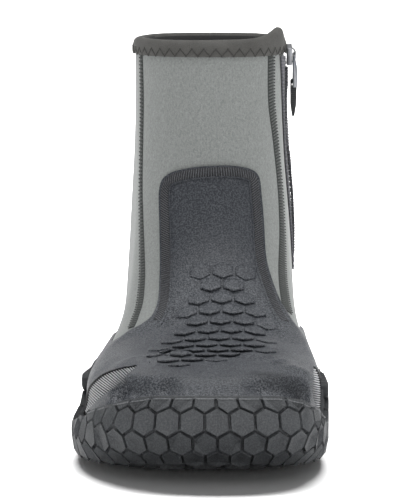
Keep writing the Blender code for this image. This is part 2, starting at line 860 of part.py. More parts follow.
def build_seams():
    """Raised overlocked seams down each side of the shaft's front."""
    for side in ("lateral", "medial"):

        def place(x, z, side=side):
            return x - listed(SEAMS, side, z)

        def clear_of_guard(x, y, z, side=side):
            edge = listed(GUARD, side, z)
            return abs(x) - edge - GAP * 2

        sheet_piece(
            "seam_" + side,
            THREAD,
            GAP,
            SEAM_THICK,
            (
                lambda x, y, z: place(x, z) + SEAM_HALF,
                lambda x, y, z: SEAM_HALF - place(x, z),
                lambda x, y, z: 66.0 - y,
                clear_of_guard,
                lambda x, y, z: collar_z(y) - BINDING_DEPTH - GAP * 2 - z,
            ),
        )


def collar_z(y):
    """Height of the collar's edge at a distance from the front."""
    top = SHEET[: COLUMNS // 2, -1]
    return float(np.interp(y, top[:, 1], top[:, 2]))


def collar_stations():
    """Place, downward and outward direction at each column, from zip round to zip."""
    found = []
    for i in range(COLUMNS):
        top, below = SHEET[i, -1], SHEET[i, -2]
        along = SHEET[(i + 1) % COLUMNS, -1] - SHEET[i - 1, -1]
        down = (below - top) / np.linalg.norm(below - top)
        out = np.cross(along, -down)
        found.append((top, down, out / np.linalg.norm(out)))
    ahead, behind = ZIP_TOP_Y - ZIP_OPENING / 2, ZIP_TOP_Y + ZIP_OPENING / 2
    first = next(i for i in range(COLUMNS // 2) if SHEET[i, -1, 1] > behind)
    last = max(i for i in range(COLUMNS // 2) if SHEET[i, -1, 1] < ahead)

    def between(i, y):
        (a, down, out), (b, down_b, out_b) = found[i], found[i + 1]
        part = (y - a[1]) / (b[1] - a[1])
        return a + (b - a) * part, down + (down_b - down) * part, out + (out_b - out) * part

    ring = [found[i % COLUMNS] for i in range(first, last + COLUMNS + 1)]
    start = between(first - 1, behind)
    end = between(last, ahead)
    return [start, *ring, end]


def build_binding():
    """Folded tape over the collar's edge, rising a little to the zip."""
    wall, thick = UPPER_WALL + GAP, BINDING_THICK
    bm = bmesh.new()
    rows = []
    for top, down, out in collar_stations():
        near = math.exp(-((top[1] - BINDING_PEAK_Y) / 15.0) ** 2) if top[0] > 0 else 0.0
        rise = GAP + thick + BINDING_RISE * near
        section = (
            (GAP, -BINDING_DEPTH),
            (GAP + thick, -BINDING_DEPTH),
            (GAP + thick, rise - 1.2),
            (-wall / 2, rise),
            (-wall - thick, rise - 1.2),
            (-wall - thick, -BINDING_DEPTH),
            (-wall, -BINDING_DEPTH),
            (-wall, GAP),
            (GAP, GAP),
        )
        rows.append([vertex(bm, top + out * o - down * u) for o, u in section])
    for a, b in zip(rows, rows[1:]):
        for k in range(len(a)):
            bm.faces.new((a[k - 1], a[k], b[k], b[k - 1]))
    bm.faces.new(rows[0])
    bm.faces.new(rows[-1])
    bmesh.ops.triangulate(bm, faces=bm.faces)
    bmesh.ops.recalc_face_normals(bm, faces=bm.faces)
    return add_object("collar_binding", mesh_from(bm, "collar_binding", False), BINDING)


def zip_y(z):
    """Middle of the zip, which runs down the inner side and back towards the heel."""
    return ZIP_TOP_Y + ZIP_SLANT * (ZIP_TOP_Z - z)


LEAN = (
    Matrix.Translation((0.0, ZIP_TOP_Y, ZIP_TOP_Z))
    @ Matrix.Rotation(math.atan(ZIP_SLANT), 4, "X")
    @ Matrix.Translation((0.0, -ZIP_TOP_Y, -ZIP_TOP_Z))
)


def box(name, low, high, collection=CUTTERS, stuff=None):
    """A block between two corners, drawn upright under the zip's top, then leaned."""
    bm = bmesh.new()
    bmesh.ops.create_cube(bm, size=1.0)
    low, high = np.array(low), np.array(high)
    bm.verts.ensure_lookup_table()
    for v in bm.verts:
        v.co = LEAN @ Vector(low + (high - low) * (np.array(v.co) + 0.5)) * MM
    return add_object(name, mesh_from(bm, name, False), stuff, collection)


def side_x(z):
    """Outside of the upper beside the zip at a height."""
    column = max(i for i in range(COLUMNS // 2) if SHEET[i, -1, 1] < zip_y(z))
    lines = SHEET[column : column + 2]
    return max(float(np.interp(z, line[1:, 2], line[1:, 0])) for line in lines)


def build_zip():
    """Slit, two tapes, the closed coil, the slider and its pull."""
    slit = box(
        "zip_slit_cutter",
        (10.0, ZIP_TOP_Y - ZIP_SLIT / 2, ZIP_FOOT_Z + 3.0),
        (60.0, ZIP_TOP_Y + ZIP_SLIT / 2, 200.0),
    )
    boolean(bpy.data.objects["upper"], slit, "DIFFERENCE")

    def medial(x, y, z):
        return x

    def foot(x, y, z):
        return z - ZIP_FOOT_Z

    for name, near, far in (("front", -0.4, -TAPE_WIDTH - 1.0), ("back", 0.4, TAPE_WIDTH + 1.0)):
        low, high = sorted((near, far))
        sheet_piece(
            "zip_tape_" + name,
            TAPE,
            GAP,
            TAPE_THICK,
            (
                medial,
                lambda x, y, z, low=low: y - zip_y(z) - low,
                lambda x, y, z, high=high: zip_y(z) + high - y,
                foot,
                lambda x, y, z: collar_z(y) - BINDING_DEPTH - GAP * 2 - z,
            ),
        )
    sheet_piece(
        "zip_coil",
        COIL,
        GAP * 2 + TAPE_THICK,
        COIL_THICK,
        (
            medial,
            lambda x, y, z: y - zip_y(z) + COIL_WIDTH / 2,
            lambda x, y, z: zip_y(z) + COIL_WIDTH / 2 - y,
            lambda x, y, z: z - ZIP_FOOT_Z - 3.0,
            lambda x, y, z: SLIDER_Z - SLIDER_LENGTH / 2 - GAP - z,
        ),
    )


def build_slider():
    """Slider body with its bridge, and the pull hanging from it with a folded tag."""
    base = side_x(SLIDER_Z) + GAP * 2 + TAPE_THICK + 0.4
    face = base + SLIDER_THICK
    low_z, high_z = SLIDER_Z - SLIDER_LENGTH / 2, SLIDER_Z + SLIDER_LENGTH / 2
    slider = box(
        "zip_slider",
        (base, ZIP_TOP_Y - SLIDER_WIDTH / 2, low_z),
        (face, ZIP_TOP_Y + SLIDER_WIDTH / 2, high_z),
        PARTS,
        METAL,
    )
    rounded(slider, 0.7)
    half = BRIDGE_WIDTH / 2
    top = face + BRIDGE_ROOM + BRIDGE_THICK
    bridge = box(
        "bridge_cutter",
        (face - 0.8, ZIP_TOP_Y - half, low_z + 0.9),
        (top, ZIP_TOP_Y + half, high_z - 0.9),
    )
    rounded(bridge, 0.4)
    room = box(
        "bridge_room_cutter",
        (face, ZIP_TOP_Y - half - 2, low_z + 2.4),
        (face + BRIDGE_ROOM, ZIP_TOP_Y + half + 2, high_z - 2.4),
    )
    boolean(slider, bridge, "UNION")
    boolean(slider, room, "DIFFERENCE")

    hinge_x, hinge_z = face + BRIDGE_ROOM / 2, SLIDER_Z
    thin, wide = PULL_THICK / 2, PULL_WIDTH / 2
    foot_z = hinge_z - PULL_LENGTH
    pull = box(
        "zip_pull",
        (hinge_x - thin, ZIP_TOP_Y - wide, foot_z),
        (hinge_x + thin, ZIP_TOP_Y + wide, hinge_z + thin),
        PARTS,
        METAL,
    )
    rounded(pull, 0.3)
    window_half = half + 0.6
    upper_window = box(
        "pull_window_cutter",
        (hinge_x - 3, ZIP_TOP_Y - window_half, hinge_z - 6.2),
        (hinge_x + 3, ZIP_TOP_Y + window_half, hinge_z - thin),
    )
    lower_window = box(
        "tag_window_cutter",
        (hinge_x - 3, ZIP_TOP_Y - 2.0, foot_z + 1.2),
        (hinge_x + 3, ZIP_TOP_Y + 2.0, foot_z + 6.6),
    )
    boolean(pull, upper_window, "DIFFERENCE")
    boolean(pull, lower_window, "DIFFERENCE")

    bm = bmesh.new()
    half_thick = TAG_THICK / 2
    side = (
        (half_thick * 0.8, foot_z + 2.9),
        (half_thick + 0.1, foot_z + 2.2),
        (half_thick + 0.1, foot_z - 1.0),
        (half_thick, foot_z - 9.0),
        (half_thick * 0.4, foot_z + 2.9 - TAG_LENGTH),
    )
    outline = [(hinge_x + a, z) for a, z in side] + [(hinge_x - a, z) for a, z in reversed(side)]
    plies = []
    for y in (ZIP_TOP_Y - TAG_WIDTH / 2, ZIP_TOP_Y + TAG_WIDTH / 2):
        plies.append([vertex(bm, LEAN @ Vector((x, y, z))) for x, z in outline])
    for k in range(len(outline)):
        bm.faces.new((plies[0][k - 1], plies[0][k], plies[1][k], plies[1][k - 1]))
    bm.faces.new(plies[0])
    bm.faces.new(plies[1])
    bmesh.ops.recalc_face_normals(bm, faces=bm.faces)
    tag = add_object("zip_pull_tag", mesh_from(bm, "zip_pull_tag", False), CORD)
    eye = box(
        "tag_eye_cutter",
        (hinge_x - thin - GAP, ZIP_TOP_Y - 5, foot_z - GAP),
        (hinge_x + thin + GAP, ZIP_TOP_Y + 5, foot_z + 1.2 + GAP),
    )
    boolean(tag, eye, "DIFFERENCE")
    return LEAN @ Vector((hinge_x, ZIP_TOP_Y, hinge_z)) * MM


def rounded(obj, width):
    made = obj.modifiers.new("edges", "BEVEL")
    made.width = width * MM
    made.segments = 2
    made.limit_method = "ANGLE"


build_outsole()
build_upper()
build_insole()
build_overlay()
build_seams()
build_binding()
build_zip()
HINGE = build_slider()


# Origin in the middle of the footprint, moving pieces about their hinge
def all_corners():
    graph = bpy.context.evaluated_depsgraph_get()
    for obj in PARTS.objects:
        yield from (v.co for v in obj.evaluated_get(graph).data.vertices)


CORNERS = np.array(list(all_corners()))
SHIFT = -(CORNERS.min(axis=0) + CORNERS.max(axis=0)) / 2
SHIFT[2] = -CORNERS[:, 2].min()
for obj in [*PARTS.objects, *CUTTERS.objects]:
    moving = obj.name in ("zip_pull", "zip_pull_tag")
    away = Vector(SHIFT) - (Vector(SHIFT) + HINGE if moving else Vector())
    obj.data.transform(Matrix.Translation(away))
    if moving:
        obj.location = Vector(SHIFT) + HINGE
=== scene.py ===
# %% [markdown]
# # A wading bootie, dressed over its CAD frame
#
# The bootie is a neoprene sock on a moulded rubber sole, with a rubber guard over
# toe and instep, two ribbed flex panels, a bound collar and a zip on the inner side.
# The CAD solids give every size. This lesson makes the pieces that are seen: copies
# of the solids that are smoothed, and new pieces that are laid on their surface.

# %% load the frame
import math
from collections import deque

import bmesh
import bpy
import numpy as np
from mathutils import Matrix, Vector
from mathutils.bvhtree import BVHTree


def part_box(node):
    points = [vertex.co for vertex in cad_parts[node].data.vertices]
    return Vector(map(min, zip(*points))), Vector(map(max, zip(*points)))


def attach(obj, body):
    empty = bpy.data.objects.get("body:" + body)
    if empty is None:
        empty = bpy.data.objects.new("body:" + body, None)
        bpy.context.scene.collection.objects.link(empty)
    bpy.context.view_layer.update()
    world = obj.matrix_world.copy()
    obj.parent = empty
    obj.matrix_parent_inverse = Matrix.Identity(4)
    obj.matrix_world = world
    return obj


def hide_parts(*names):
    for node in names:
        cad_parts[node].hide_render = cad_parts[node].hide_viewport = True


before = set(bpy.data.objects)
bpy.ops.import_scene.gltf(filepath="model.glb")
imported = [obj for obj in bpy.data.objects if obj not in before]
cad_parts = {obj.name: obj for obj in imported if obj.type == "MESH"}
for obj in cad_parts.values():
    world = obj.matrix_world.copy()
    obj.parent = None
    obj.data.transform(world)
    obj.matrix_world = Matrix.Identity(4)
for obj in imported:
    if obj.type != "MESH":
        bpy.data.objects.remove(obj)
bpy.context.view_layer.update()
MM = 0.001

# %% [markdown]
# ## Camera
#
# The picture is taken from in front of the toe, from well back and a little above the
# collar, so the collar's opening is just seen and the sole is seen nearly end on. A
# long lens keeps the toe from growing too large against the shaft.

# %% camera
CAMERA_BACK, CAMERA_HEIGHT, CAMERA_TILT, LENS = 1.3437, 0.187, 4.33, 216.4
camera = bpy.data.objects.new("front_camera", bpy.data.cameras.new("front_camera"))
camera.location = (0.0, -CAMERA_BACK, CAMERA_HEIGHT)
camera.rotation_euler = (math.radians(90 - CAMERA_TILT), 0.0, 0.0)
camera.data.lens = LENS
camera.data.sensor_width = 36.0
camera.data.clip_end = 30.0
bpy.context.scene.collection.objects.link(camera)
bpy.context.scene.camera = camera
print("camera", camera.data.lens, "mm lens")

# %% [markdown]
# ## Working by hand, in code
#
# Every operator works on what is selected, so a few small helpers come first. They pick
# a single piece, apply a modifier, copy a CAD node, pick faces by their place, and hand
# a finished piece over to the frame. A place on the bootie is written in millimetres
# from near the middle of the sole, as on its drawing, and one function turns it into
# the frame's metres.

# %% places and modifiers
DRAWING_TO_FRAME = Vector((5.05, -0.054, 0.0))


def at(x, y, z):
    return (Vector((x, y, z)) + DRAWING_TO_FRAME) * MM


def only(piece):
    """Select just this piece, in object mode."""
    if bpy.context.mode != "OBJECT":
        bpy.ops.object.mode_set(mode="OBJECT")
    bpy.ops.object.select_all(action="DESELECT")
    piece.select_set(True)
    bpy.context.view_layer.objects.active = piece


def edit_all(piece):
    """Edit mode with all of this piece selected."""
    only(piece)
    bpy.ops.object.mode_set(mode="EDIT")
    bpy.ops.mesh.select_all(action="SELECT")


def face_outwards(piece):
    """Turn all faces outwards and leave edit mode."""
    edit_all(piece)
    bpy.ops.mesh.normals_make_consistent(inside=False)
    bpy.ops.object.mode_set(mode="OBJECT")


def finish_with(piece, kind, **settings):
    """Add one modifier, set it and apply it."""
    only(piece)
    modifier = piece.modifiers.new(kind.lower(), kind)
    for name, value in settings.items():
        setattr(modifier, name, value)
    bpy.ops.object.modifier_apply(modifier=modifier.name)


def round_edges(piece, width, segments, angle):
    """Bevel every edge that bends by more than an angle, in radians."""
    settings = {"width": width * MM, "segments": segments}
    finish_with(piece, "BEVEL", **settings, limit_method="ANGLE", angle_limit=angle)


print("the drawing's origin in the frame:", at(0.0, 0.0, 0.0))


# %% copying, picking and handing over
def new_piece(name, mesh):
    """A piece with its own copy of a mesh."""
    piece = bpy.data.objects.new(name, mesh.copy())
    bpy.context.scene.collection.objects.link(piece)
    return piece


def copy_of(node, name):
    """A piece that starts as a merged copy of a CAD node."""
    piece = new_piece(name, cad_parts[node].data)
    piece.data.materials.clear()
    only(piece)
    bpy.ops.mesh.customdata_custom_splitnormals_clear()
    edit_all(piece)
    bpy.ops.mesh.remove_doubles(threshold=1e-5)
    bpy.ops.object.mode_set(mode="OBJECT")
    return piece


def pick(piece, kind, test):
    """Edit mode with just the faces, edges or vertices that pass the test selected."""
    only(piece)
    bpy.ops.object.mode_set(mode="EDIT")
    bpy.ops.mesh.select_mode(type=kind)
    bpy.ops.mesh.select_all(action="DESELECT")
    bpy.ops.object.mode_set(mode="OBJECT")
    mesh = piece.data
    for item in {"FACE": mesh.polygons, "EDGE": mesh.edges, "VERT": mesh.vertices}[kind]:
        item.select = test(item)
    bpy.ops.object.mode_set(mode="EDIT")


def smooth(piece, degrees=35):
    only(piece)
    bpy.ops.object.shade_smooth_by_angle(angle=math.radians(degrees))


def show(piece, body, slot, *stuff, stands_for=()):
    """Give a piece its finish, its body and the CAD nodes it replaces; the slot is not used."""
    for material in stuff:
        piece.data.materials.append(material)
    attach(piece, body)
    lit.objects.link(piece)
    if stands_for:
        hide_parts(*stands_for)
    count = sum(len(p.vertices) - 2 for p in piece.data.polygons)
    print(f"{piece.name}: {count} triangles")


print(len(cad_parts), "CAD nodes can be copied")


# %% [markdown]
# ## A small language for finishes
#
# A finish is a web of nodes, and most of it is arithmetic. One class wraps a socket so
# that sums can be written as sums, and one holds the material and makes every other
# node. Patterns read Object coordinates, which are metres on the bootie itself.

# %% a value in a finish
class Value:
    """A shader value that takes part in Python arithmetic."""

    def __init__(self, finish, socket):
        self.finish, self.socket = finish, socket

    def __add__(self, other):
        return self.finish.math("ADD", self, other)

    def __sub__(self, other):
        return self.finish.math("SUBTRACT", self, other)

    def __rsub__(self, other):
        return self.finish.math("SUBTRACT", other, self)

    def __mul__(self, other):
        return self.finish.math("MULTIPLY", self, other)

    __radd__ = __add__
    __rmul__ = __mul__


# %% a finish
class Finish:
    """A material with its main shader, and one way to add a node."""

    def __init__(self, name, **constants):
        self.material = bpy.data.materials.new(name)
        self.material.use_nodes = True
        self.tree = self.material.node_tree
        self.shader = self.tree.nodes["Principled BSDF"]
        for socket, number in constants.items():
            self.shader.inputs[socket.replace("_", " ")].default_value = number
        self.place = self.node("ShaderNodeTexCoord", output="Object")

    def feed(self, socket, value):
        if isinstance(value, Value):
            self.tree.links.new(value.socket, socket)
        else:
            socket.default_value = value

    def node(self, kind, settings=None, inputs=None, output=0):
        made = self.tree.nodes.new(kind)
        for name, value in (settings or {}).items():
            setattr(made, name, value)
        for name, value in (inputs or {}).items():
            self.feed(made.inputs[name], value)
        return Value(self, made.outputs[output])

    def math(self, operation, first, second):
        return self.node("ShaderNodeMath", {"operation": operation}, {0: first, 1: second})

    def noise(self, size_mm, detail=2.0, vector=None, roughness=0.5):
        """Noise whose features are about this many millimetres across."""
        inputs = {"Vector": vector or self.place, "Scale": 1000.0 / size_mm}
        inputs.update({"Detail": detail, "Roughness": roughness})
        return self.node("ShaderNodeTexNoise", None, inputs, "Fac")

    def stretched(self, x, y, z):
        """The place, with each axis scaled: a larger number makes a finer pattern."""
        return self.node("ShaderNodeMapping", None, {"Vector": self.place, "Scale": (x, y, z)})

    def bands(self, scale, distortion, detail=2.0):
        """Soft bands, one above another, as across a woven tape."""
        settings = {"wave_type": "BANDS", "bands_direction": "Z"}
        inputs = {"Vector": self.place, "Scale": scale}
        inputs.update({"Distortion": distortion, "Detail": detail})
        return self.node("ShaderNodeTexWave", settings, inputs, "Fac")

    def between(self, value, low, high, start=0.0, end=1.0):
        """A value's range low to high, mapped on start to end and kept inside it."""
        inputs = {"Value": value, "From Min": low, "From Max": high}
        inputs.update({"To Min": start, "To Max": end})
        return self.node("ShaderNodeMapRange", {"clamp": True}, inputs)

    def blend(self, first, second, factor):
        """A colour between two colours."""
        settings = {"data_type": "RGBA"}
        return self.node("ShaderNodeMix", settings, {0: factor, 6: first, 7: second}, 2)

    def paint(self, colour, roughness=None, height=None, depth_mm=0.1, strength=1.0):
        """Link colour, roughness and a height for the bump to the shader."""
        self.feed(self.shader.inputs["Base Color"], colour)
        if roughness is not None:
            self.feed(self.shader.inputs["Roughness"], roughness)
        if height is not None:
            inputs = {"Height": height, "Strength": strength, "Distance": depth_mm * MM}
            self.feed(self.shader.inputs["Normal"], self.node("ShaderNodeBump", None, inputs))
        return self.material


def grey(r, g, b):
    return (r, g, b, 1.0)


print("finish classes ready")

# %% [markdown]
# ## Floor and light
#
# The bootie stands on a pale seamless floor: a plane whose far edge is drawn up into a
# wall, with the fold rounded, so no horizon shows. A white background alone would be
# simpler, but would leave no shadow to stand on. Large soft lights from the front,
# both sides and above light the bootie, and a low one lifts the sole. The floor has a
# lamp of its own, high behind the heel, so that the shadow falls forward and stays dark
# under the toe.

# %% floor
FLOOR, WALL, FOLD, WIDEN = 6.0, 4.0, 0.9, 3.0
NEAR_EDGE = FLOOR / 2 - 0.1
bpy.ops.object.select_all(action="DESELECT")
bpy.ops.mesh.primitive_plane_add(size=FLOOR, location=(0.0, 0.0, 0.0))
floor = bpy.context.object
floor.name = "studio_floor"
corners = floor.data.vertices
pick(floor, "EDGE", lambda e: all(corners[i].co.y > NEAR_EDGE for i in e.vertices))
bpy.ops.mesh.extrude_region_move(TRANSFORM_OT_translate={"value": (0.0, 0.0, WALL)})
bpy.ops.object.mode_set(mode="OBJECT")
finish_with(floor, "BEVEL", width=FOLD, segments=12)
pick(floor, "VERT", lambda v: v.co.y < -NEAR_EDGE)
bpy.ops.transform.translate(value=(0.0, -FLOOR, 0.0))
bpy.ops.mesh.select_all(action="SELECT")
bpy.ops.transform.resize(value=(WIDEN, 1.0, 1.0), center_override=(0.0, 0.0, 0.0))
bpy.ops.object.mode_set(mode="OBJECT")
smooth(floor, 60)
paper = Finish("studio_paper", Roughness=0.95)
grain = paper.noise(3.0, 3.0)
floor.data.materials.append(
    paper.paint(paper.blend(grey(0.9, 0.9, 0.9), grey(0.93, 0.93, 0.93), grain))
)
print("floor", len(floor.data.polygons), "faces")

# %% lights
bpy.context.scene.view_settings.view_transform = "Standard"
world = bpy.data.worlds.new("studio_world")
world.use_nodes = True
world.node_tree.nodes["Background"].inputs["Color"].default_value = grey(1.0, 1.0, 1.0)
world.node_tree.nodes["Background"].inputs["Strength"].default_value = 0.16
bpy.context.scene.world = world
lit = bpy.data.collections.new("lit_bootie")
lit_floor = bpy.data.collections.new("lit_floor")
lit_floor.objects.link(floor)
lit_sole = bpy.data.collections.new("lit_sole")


def softbox(name, place, target, size, power, receivers=None):
    data = bpy.data.lights.new(name, "AREA")
    data.shape, data.size, data.size_y, data.energy = "RECTANGLE", size[0], size[1], power
    lamp = bpy.data.objects.new(name, data)
    lamp.location = place
    aim = Vector(target) - Vector(place)
    lamp.rotation_euler = aim.to_track_quat("-Z", "Y").to_euler()
    lamp.light_linking.receiver_collection = receivers
    bpy.context.scene.collection.objects.link(lamp)


softbox("floor_lamp", (0.0, 1.75, 2.1), (0.0, -0.2, 0.0), (1.8, 1.0), 265.0, lit_floor)
softbox("floor_fill", (0.0, -2.6, 0.4), (0.0, -0.2, 0.0), (2.4, 0.5), 9.0, lit_floor)
softbox("top_softbox", (0.0, -0.1, 1.5), (0.0, 0.0, 0.05), (1.4, 1.4), 30.0, lit)
softbox("left_softbox", (-1.2, -0.9, 0.7), (0.0, 0.0, 0.09), (0.8, 1.1), 3.8, lit)
softbox("right_softbox", (1.2, -0.9, 0.7), (0.0, 0.0, 0.09), (0.8, 1.1), 7.6, lit)
softbox("front_strip", (0.0, -2.0, 0.9), (0.0, 0.0, 0.1), (0.3, 1.4), 8.0, lit)
softbox("sole_fill", (0.0, -2.0, 0.12), (0.0, -0.14, 0.01), (1.8, 0.2), 4.0, lit_sole)
print("lights", len(bpy.data.lights))

# %% [markdown]
# ## Neoprene upper
#
# The sock is one continuous skin, so its CAD solid is the right base, but its facets
# show. Its triangles come in pairs that share a diagonal the same way all over. The
# diagonals are found by walking from face to face: across a shared side, the next
# diagonal starts at the other end of that side. With the pairs joined back into quads,
# a Subdivision Surface turns the facets into a smooth skin.

# %% quads from triangles
OUTSIDE, LINING, EDGE = 0, 1, 2
SHEET_ANGLE = 1.25


def next_diagonal(edge, diagonal, other):
    if edge is diagonal:
        return edge
    end = next(v for v in edge.verts if v in diagonal.verts)
    far = edge.other_vert(end)
    return next(e for e in other.edges if e is not edge and far in e.verts)


def walk_sheet(bm, seed, index):
    """Mark the smooth sheet round a seed point and join its triangles into quads."""
    start = min(bm.faces, key=lambda f: (f.calc_center_median() - seed).length)
    diagonal = {start: max(start.edges, key=lambda e: e.calc_length())}
    queue = deque([start])
    while queue:
        face = queue.popleft()
        face.material_index = index
        for edge in face.edges:
            if len(edge.link_faces) != 2 or edge.calc_face_angle() > SHEET_ANGLE:
                continue
            other = next(f for f in edge.link_faces if f is not face)
            if other not in diagonal:
                diagonal[other] = next_diagonal(edge, diagonal[face], other)
                queue.append(other)
    shared = [
        e for e in bm.edges
        if len(e.link_faces) == 2 and all(diagonal.get(f) is e for f in e.link_faces)
    ]
    bmesh.ops.dissolve_edges(bm, edges=shared, use_verts=False)


upper = copy_of("upper", "neoprene_upper")
bm = bmesh.new()
bm.from_mesh(upper.data)
for face in bm.faces:
    face.material_index = EDGE
walk_sheet(bm, at(-36.0, 60.0, 130.0), OUTSIDE)
walk_sheet(bm, at(-31.0, 60.0, 130.0), LINING)
bm.to_mesh(upper.data)
quads = sum(len(f.verts) == 4 for f in bm.faces)
print("upper:", quads, "quads and", len(bm.faces) - quads, "other faces")
bm.free()

# %% smooth the upper
finish_with(upper, "SUBSURF", levels=2, render_levels=2)
smooth(upper, 60)
sheets = [p.material_index for p in upper.data.polygons]
print("outside", sheets.count(OUTSIDE), "lining", sheets.count(LINING))


# %% [markdown]
# ### Laying a piece on the boot
#
# Seams, ribs and stitches all lie on a surface. A Shrinkwrap modifier could lay them
# there, but a piece also has to know which way is up. So they are drawn flat and dropped:
# a ray from each point finds the surface and its normal, and the point keeps its height.

# %% dropping points on a surface
def tree_of(*pieces):
    """A search tree over the faces of some pieces."""
    points, faces = [], []
    for piece in pieces:
        start = len(points)
        points += [v.co.copy() for v in piece.data.vertices]
        faces += [[start + i for i in p.vertices] for p in piece.data.polygons]
    return BVHTree.FromPolygons(points, faces)


def drop(tree, start, direction):
    """First point that a ray meets, and the outward normal there."""
    place, normal, _, _ = tree.ray_cast(start, direction)
    if place is None:
        return None, None
    if normal.dot(direction) > 0:
        normal = -normal
    return place, normal


FRONT_START, SIDE_START = -300.0, 120.0


def front_hit(tree, x, z):
    """What is met at a place of the front view."""
    return drop(tree, at(x, FRONT_START, z), Vector((0.0, 1.0, 0.0)))


def side_hit(tree, sign, y, z):
    """What is met at a place of a side view: -1 is the outer side, 1 the inner one."""
    return drop(tree, at(sign * SIDE_START, y, z), Vector((-sign, 0.0, 0.0)))


upper_tree = tree_of(upper)
print("upper front at 100 mm:", front_hit(upper_tree, 0.0, 100.0)[0])

# %% [markdown]
# ### Dents and creases
#
# The toe box is soft. It has sunk in above the sole's rim, most at the front corners,
# with a low ridge above each, and it is drawn in a little at both sides of the vamp. A
# sculpting brush would do, but a script can't hold it. So a few vertices are picked on
# the front and moved, and the skin round them follows with proportional editing. Guard
# and panels are cut from this skin later, so they have the same dents.

# %% dents and creases
PINCH = 2.5
DENTS = (
    (((21.0, 38.6), (26.0, 37.8), (30.0, 36.6), (33.5, 35.2)), (-0.4, 4.6, -5.4), 10.0),
    (((-35.0, 35.6), (-30.0, 36.6), (-25.0, 37.4), (-20.0, 38.0)), (0.4, 4.5, -5.2), 9.0),
    (((17.0, 44.4), (23.0, 44.0), (29.0, 43.0), (35.0, 41.0)), (0.0, -1.6, 1.5), 7.0),
    (((-35.0, 41.4), (-29.0, 42.3), (-22.0, 43.2), (-15.0, 44.2)), (0.0, -1.8, 1.6), 7.0),
    (((-10.0, 38.6), (-2.0, 38.6), (6.0, 38.6), (13.0, 38.4)), (0.0, 1.8, -1.8), 9.0),
    (((-30.0, 50.0), (-24.0, 53.0)), (0.6, 0.8, -1.0), 12.0),
    (((27.0, 50.0), (31.0, 48.0)), (-0.6, 0.8, -1.0), 12.0),
)


def on_front(spots):
    """Places on the upper's front, from where they are seen."""
    return [front_hit(upper_tree, x, z)[0] for x, z in spots]


def press(spots, move, reach):
    """Move the skin at some front-view spots; what lies within reach follows softly."""
    hits = on_front(spots)
    pick(upper, "VERT", lambda v: min((v.co - hit).length for hit in hits) < PINCH * MM)
    bpy.ops.transform.translate(
        value=Vector(move) * MM,
        use_proportional_edit=True,
        proportional_edit_falloff="SMOOTH",
        proportional_size=reach * MM,
    )
    bpy.ops.object.mode_set(mode="OBJECT")


for spots, move, reach in DENTS:
    press(spots, move, reach)
upper_tree = tree_of(upper)
print(len(DENTS), "dents and creases")

# %% [markdown]
# ## Rubber guard
#
# The guard is a 1.5 mm rubber skin bonded over toe, vamp and instep. A new sheet could be
# shrunk onto the sock, but the upper's own outside fits it already, so a copy of that is
# lifted off by a small gap and given thickness. Its outline is a shape seen from the
# front, and its lower edge and the windows for the flex panels are shapes seen from the
# side. Each shape is drawn flat, extruded into a block, and used in a Boolean.

# %% outlines on the drawing
GUARD = (
    (-70.0, 24.0), (-60.0, 36.0), (-49.5, 41.0), (-44.6, 45.0), (-41.3, 47.4), (-36.0, 51.0),
    (-31.5, 53.2), (-26.5, 57.0), (-23.9, 63.3), (-23.3, 73.4), (-23.3, 82.0), (-23.7, 97.0),
    (-24.0, 107.0), (-23.7, 111.5), (-22.6, 115.0), (-20.6, 117.2), (-17.5, 119.0),
    (-12.7, 120.3), (-7.3, 121.3), (-1.8, 121.8), (6.0, 122.1), (11.0, 121.8), (14.6, 121.2),
    (17.6, 120.4), (20.4, 118.9), (22.0, 116.6), (22.7, 113.4), (23.1, 109.0), (24.1, 97.0),
    (24.9, 82.0), (26.9, 73.4), (30.8, 63.3), (34.8, 57.0), (37.6, 53.2), (39.5, 51.0),
    (42.6, 47.4), (44.5, 45.0), (47.0, 41.0), (60.0, 36.0), (70.0, 24.0),
)
GUARD_BACK = (
    (47.9, 26.1), (38.0, 36.0), (32.0, 41.0), (26.0, 45.0), (21.0, 47.4),
    (13.0, 51.0), (15.0, 53.2), (40.0, 57.0), (60.0, 73.4), (170.0, 73.4), (170.0, -10.0),
)
RIM_LATERAL = (
    (-170.0, -10.0), (-170.0, 36.6), (-142.0, 36.6), (-134.0, 35.7), (-123.0, 32.1), (-112.0, 29.1),
    (-100.0, 25.7), (-87.0, 21.7), (-78.0, 19.5), (-70.0, 18.2), (-62.0, 17.9),
)
RIM_MEDIAL = (
    (-170.0, -10.0), (-170.0, 36.6), (-142.0, 36.6), (-134.0, 35.5), (-123.0, 31.8), (-112.0, 27.5),
    (-100.0, 22.9),
)
FRONT_LATERAL = (
    (-56.5, 18.0), (-69.3, 20.9), (-80.2, 24.3), (-88.6, 27.8), (-95.8, 31.0), (-101.8, 34.4),
    (-104.6, 37.3), (-103.0, 39.4), (-97.0, 41.4), (-90.5, 42.6), (-85.0, 43.2),
)
ARC_LATERAL = (
    (-85.0, 43.2), (-83.0, 42.3), (-80.5, 41.2), (-77.0, 39.7), (-73.5, 37.5), (-69.7, 34.5),
    (-63.2, 31.2), (-57.7, 28.0), (-55.2, 24.5), (-53.2, 21.0), (-51.0, 18.2),
)
FRONT_MEDIAL = (
    (-97.2, 22.2), (-97.6, 24.5), (-103.2, 27.9), (-106.6, 31.2), (-106.3, 34.6),
    (-102.2, 37.6), (-94.0, 39.7), (-84.0, 41.0), (-77.2, 41.9),
)
ARC_MEDIAL = (
    (-77.2, 41.9), (-74.2, 40.8), (-71.2, 39.4), (-68.7, 37.4), (-66.7, 34.6), (-65.8, 32.4),
)
SILL_MEDIAL = ((-70.0, 29.9), (-78.0, 20.9), (-87.0, 20.0))
AFT_LATERAL = (
    (-50.0, 18.0), (-43.0, 24.4), (-35.0, 35.3), (-26.0, 38.3), (-4.0, 37.3), (23.0, 30.4),
)
